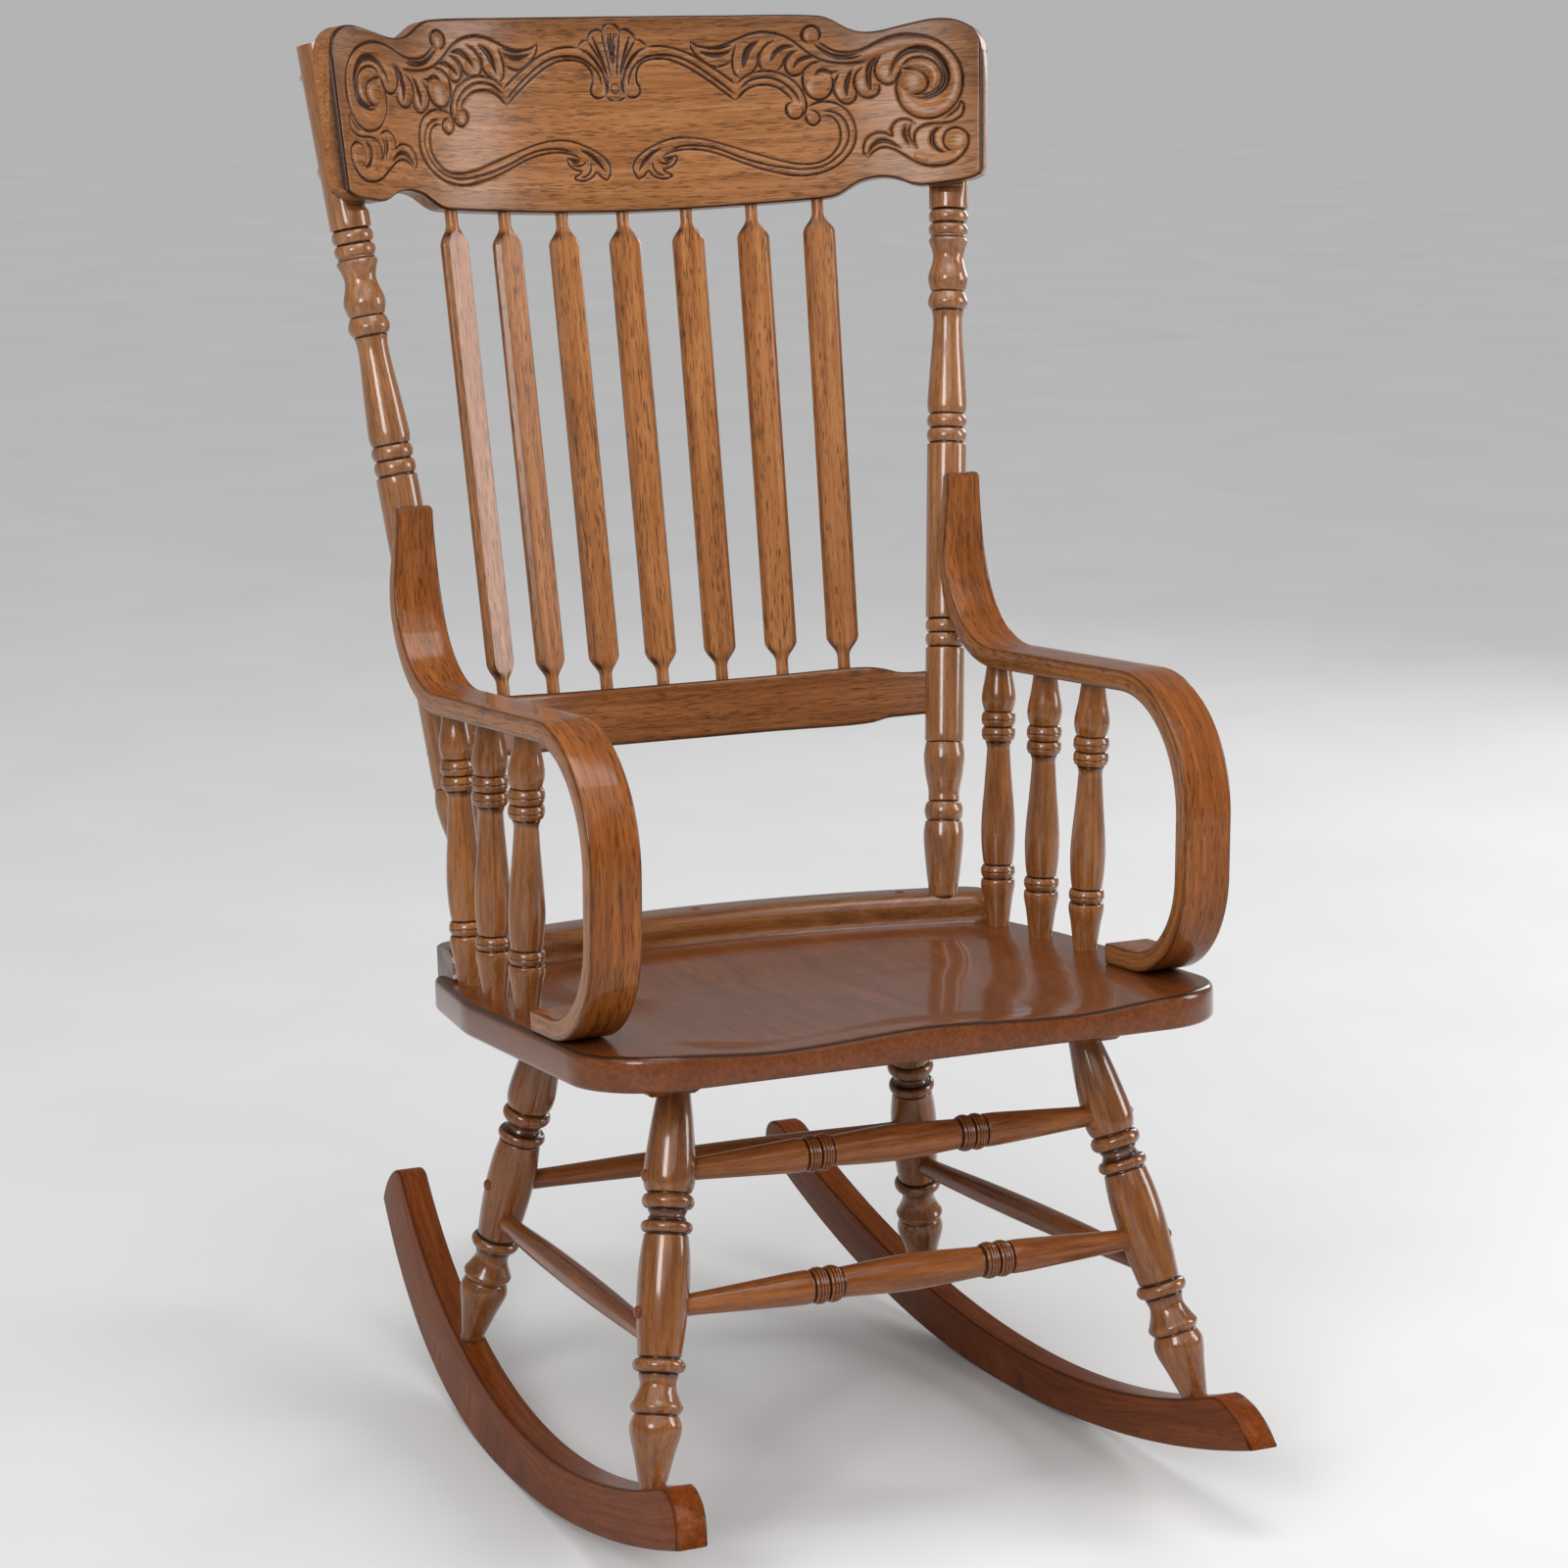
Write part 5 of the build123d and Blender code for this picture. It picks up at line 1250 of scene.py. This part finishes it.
def arm_section():
    """Rectangle with rounded corners, as (corner x, corner y, direction x, direction y)."""
    section = []
    for sx, sy in ((1, 1), (-1, 1), (-1, -1), (1, -1)):
        arc = [(math.cos(a), math.sin(a)) for a in np.linspace(0, math.pi / 2, 5)]
        section += [(sx, sy, sx * c, sy * s) for c, s in arc[::sx * sy]]
        if sx * sy > 0:
            section += [(sx * k, sy, 0, sy) for k in (0.5, 0.0, -0.5)]
    return np.array(section)


def arm(side, sign):
    """A laminated strip bent along the arm's path, thinner at the top of its rear end."""
    path = filleted(ARM_PATH, ARM_BENDS, 3.0)
    run = run_length(path)
    tangent = unit(np.gradient(path, axis=0))
    normal = np.c_[-tangent[:, 1], tangent[:, 0]]
    total = run[-1]
    tip_top = ARM_PATH[0][1]
    near_tip = run < ARM_TIP_RUN
    narrow = smooth(ARM_NARROW_FROM, tip_top, path[:, 1]) * near_tip
    thin = smooth(ARM_THIN_FROM, tip_top, path[:, 1]) * near_tip
    half = (ARM_WIDTH + (ARM_TIP_WIDTH - ARM_WIDTH) * narrow) / 2
    deep = (ARM_THICK + (ARM_TIP_THICK - ARM_THICK) * thin) / 2
    section = arm_section()
    reach = np.full(len(path), ARM_EDGE)
    reach[[0, -1]] *= 0.2
    verts, local, glaze, lam = [], [], [], []
    for k in range(len(path)):
        x = section[:, 0] * (half[k] - ARM_EDGE) + section[:, 2] * reach[k]
        y = section[:, 1] * (deep[k] - ARM_EDGE) + section[:, 3] * reach[k]
        verts.append(np.c_[ARM_X + x, path[k] + np.outer(y, normal[k])])
        local.append(np.c_[x, y, np.full(len(x), run[k])])
        edge = (np.abs(section[:, 2]) > 0.25) & (np.abs(section[:, 3]) > 0.25)
        dark = np.where(edge, 0.62, 0.0)
        tip = max(math.exp(-(run[k] / 4) ** 2), math.exp(-((total - run[k]) / 5) ** 2))
        glaze.append(dark + (1 - dark) * tip * 0.6)
        lam.append(np.where(np.abs(section[:, 2]) > 0.9, 1.0, 0.0))
    verts = np.array(verts) * (sign, 1, 1)
    name = f"arm_{side}"
    mesh_object(name, verts, tube_faces(*verts.shape[:2], sign < 0), np.array(local) + offset(),
                np.array(glaze), ARM_WOOD, (name,), 40, np.array(lam))


SPINDLES = {
    "rear": ((243.2, 91.9, 396.5), (248.4, 104.6, 629.0)),
    "middle": ((247.9, 22.3, 401.9), (249.5, 22.3, 630.0)),
    "front": ((249.6, -53.3, 408.0), (249.9, -60.0, 635.0)),
}
SPINDLE_LENGTH = 226.0
SPINDLE_TURNING = [
    ("curve", (0, 9.8), (22, 12.6), (36, 14.8), (40, 14.0)),
    ("bead", (41, 12.8), (46.5, 14.9), (52, 12.8)),
    ("curve", (53, 12.7), (64, 14.0), (82, 14.7), (100, 13.8), (118, 12.2), (142, 10.4),
     (152, 10.1), (156.5, 11.6)),
    ("bead", (157, 12.8), (162.5, 14.7), (169, 12.8)),
    ("bead", (169, 12.8), (175.5, 14.9), (181.5, 12.8)),
    ("curve", (182.5, 12.8), (192, 14.7), (212, 11.6), (226, 9.8)),
]
SPINDLE_GROOVES = [(x, 1.0, 0.6) for x in (40.5, 52.5, 157, 169, 182)] \
    + [(162.8, 0.5, 0.5), (175.4, 0.5, 0.5), (46.5, 0.5, 0.5)]


def spindles(side, sign):
    for place, (low, high) in SPINDLES.items():
        low, high = flip(low, sign), flip(high, sign)
        stretch = np.linalg.norm(high - low) / SPINDLE_LENGTH
        lathe(f"arm_spindle_{side}_{place}", SPINDLE_TURNING, low, high, SPINDLE_WOOD,
              stretch, SPINDLE_GROOVES, 48, (3, 5))


# ------------------------------------------------------------------ carried-over CAD nodes
CARRIED = {
    "seat_cleat_left": CLEAT_WOOD, "seat_cleat_right": CLEAT_WOOD, "stretcher_caps": PLUG_WOOD,
    "riser_caps": PLUG_WOOD, "stretcher_screws": STEEL, "riser_screws": STEEL,
    "crest_bolts": STEEL, "arm_bolts": STEEL, "arm_screws": STEEL, "post_screws": STEEL,
    "cleat_screws": STEEL, "rocker_screws": STEEL,
}


def carried():
    """Cleats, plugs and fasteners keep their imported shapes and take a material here."""
    for name, material in CARRIED.items():
        mesh = NODES[name].data
        mesh.materials.clear()
        mesh.materials.append(material)


# ------------------------------------------------------------------ stage, lights, camera
FLOOR_HALF = 400.0
FLOOR_TONES = ((0.63, 0.63, 0.63), (0.66, 0.66, 0.66))
WORLD_STRENGTH = 0.26


def stage():
    """A floor that runs on to the horizon."""
    mat, nodes, links, shader = new_material("StudioFloor")
    p = nodes.new("ShaderNodeTexCoord").outputs["Object"]
    tone = ramp(nodes, links, noise(nodes, links, p, 3.0, 2.0),
                [(0.3, FLOOR_TONES[0]), (0.7, FLOOR_TONES[1])])
    links.new(tone, shader.inputs["Base Color"])
    shader.inputs["Roughness"].default_value = 0.7
    mesh = bpy.data.meshes.new("studio_floor")
    corners = [(x * FLOOR_HALF, y * FLOOR_HALF, 0) for x, y in ((-1, -1), (1, -1), (1, 1), (-1, 1))]
    mesh.from_pydata(corners, [], [(0, 1, 2, 3)])
    obj = bpy.data.objects.new("studio_floor", mesh)
    mesh.materials.append(mat)
    bpy.context.scene.collection.objects.link(obj)


def light(name, at, target, size, power):
    data = bpy.data.lights.new(name, "AREA")
    data.shape = "RECTANGLE"
    data.size, data.size_y = size
    data.energy = power
    obj = bpy.data.objects.new(name, data)
    obj.location = at
    obj.rotation_euler = (Vector(target) - Vector(at)).to_track_quat("-Z", "Y").to_euler()
    bpy.context.scene.collection.objects.link(obj)


def lights():
    """Four soft boxes, a broad sky and an even world light, as in the photo's studio."""
    light("soft_left", (-2.6, -2.6, 2.2), (0, 0, 0.6), (1.2, 1.5), 74)
    light("soft_right", (3.0, -1.3, 1.6), (0, 0, 0.6), (1.0, 1.8), 56)
    light("soft_top", (0.1, -0.6, 3.1), (0, 0, 0.4), (1.4, 1.4), 22)
    light("strip_rear", (2.9, 1.9, 1.7), (0, 0, 0.7), (0.8, 1.6), 26)
    sky = bpy.data.lights.new("broad_sky", "SUN")
    sky.energy = 1.7
    sky.angle = 1.4
    overhead = bpy.data.objects.new("broad_sky", sky)
    overhead.rotation_euler = (0.45, -0.25, 0)
    bpy.context.scene.collection.objects.link(overhead)
    world = bpy.data.worlds.new("studio")
    bpy.context.scene.world = world
    world.use_nodes = True
    world.node_tree.nodes["Background"].inputs["Color"].default_value = (1, 1, 1, 1)
    world.node_tree.nodes["Background"].inputs["Strength"].default_value = WORLD_STRENGTH
    bpy.context.scene.view_settings.view_transform = "Standard"


CAMERA_AT = (-1387.0, -3016.2, 1257.8)
CAMERA_TILT = 78.133
CAMERA_TURN = -24.653
CAMERA_LENS = 95.53


def camera():
    """The photo's viewpoint."""
    data = bpy.data.cameras.new("camera")
    data.lens = CAMERA_LENS
    data.sensor_width = 36.0
    data.clip_end = 1000.0
    obj = bpy.data.objects.new("camera", data)
    obj.location = Vector((CAMERA_AT[0], CAMERA_AT[1] + SHIFT, CAMERA_AT[2])) / 1000
    obj.rotation_euler = (math.radians(CAMERA_TILT), 0, math.radians(CAMERA_TURN))
    bpy.context.scene.collection.objects.link(obj)
    bpy.context.scene.camera = obj


camera()
lights()
stage()
for side, sign in SIDES.items():
    rocker(f"rocker_{side}", sign)
    leg(f"leg_front_{side}", FRONT_LEG, sign)
    leg(f"leg_rear_{side}", REAR_LEG, sign)
    post(side, sign)
    arm(side, sign)
    spindles(side, sign)
stretchers()
seat()
riser()
crest()
lower_rail()
for index in range(-3, 4):
    slat(index)
carried()

bpy.context.view_layer.update()
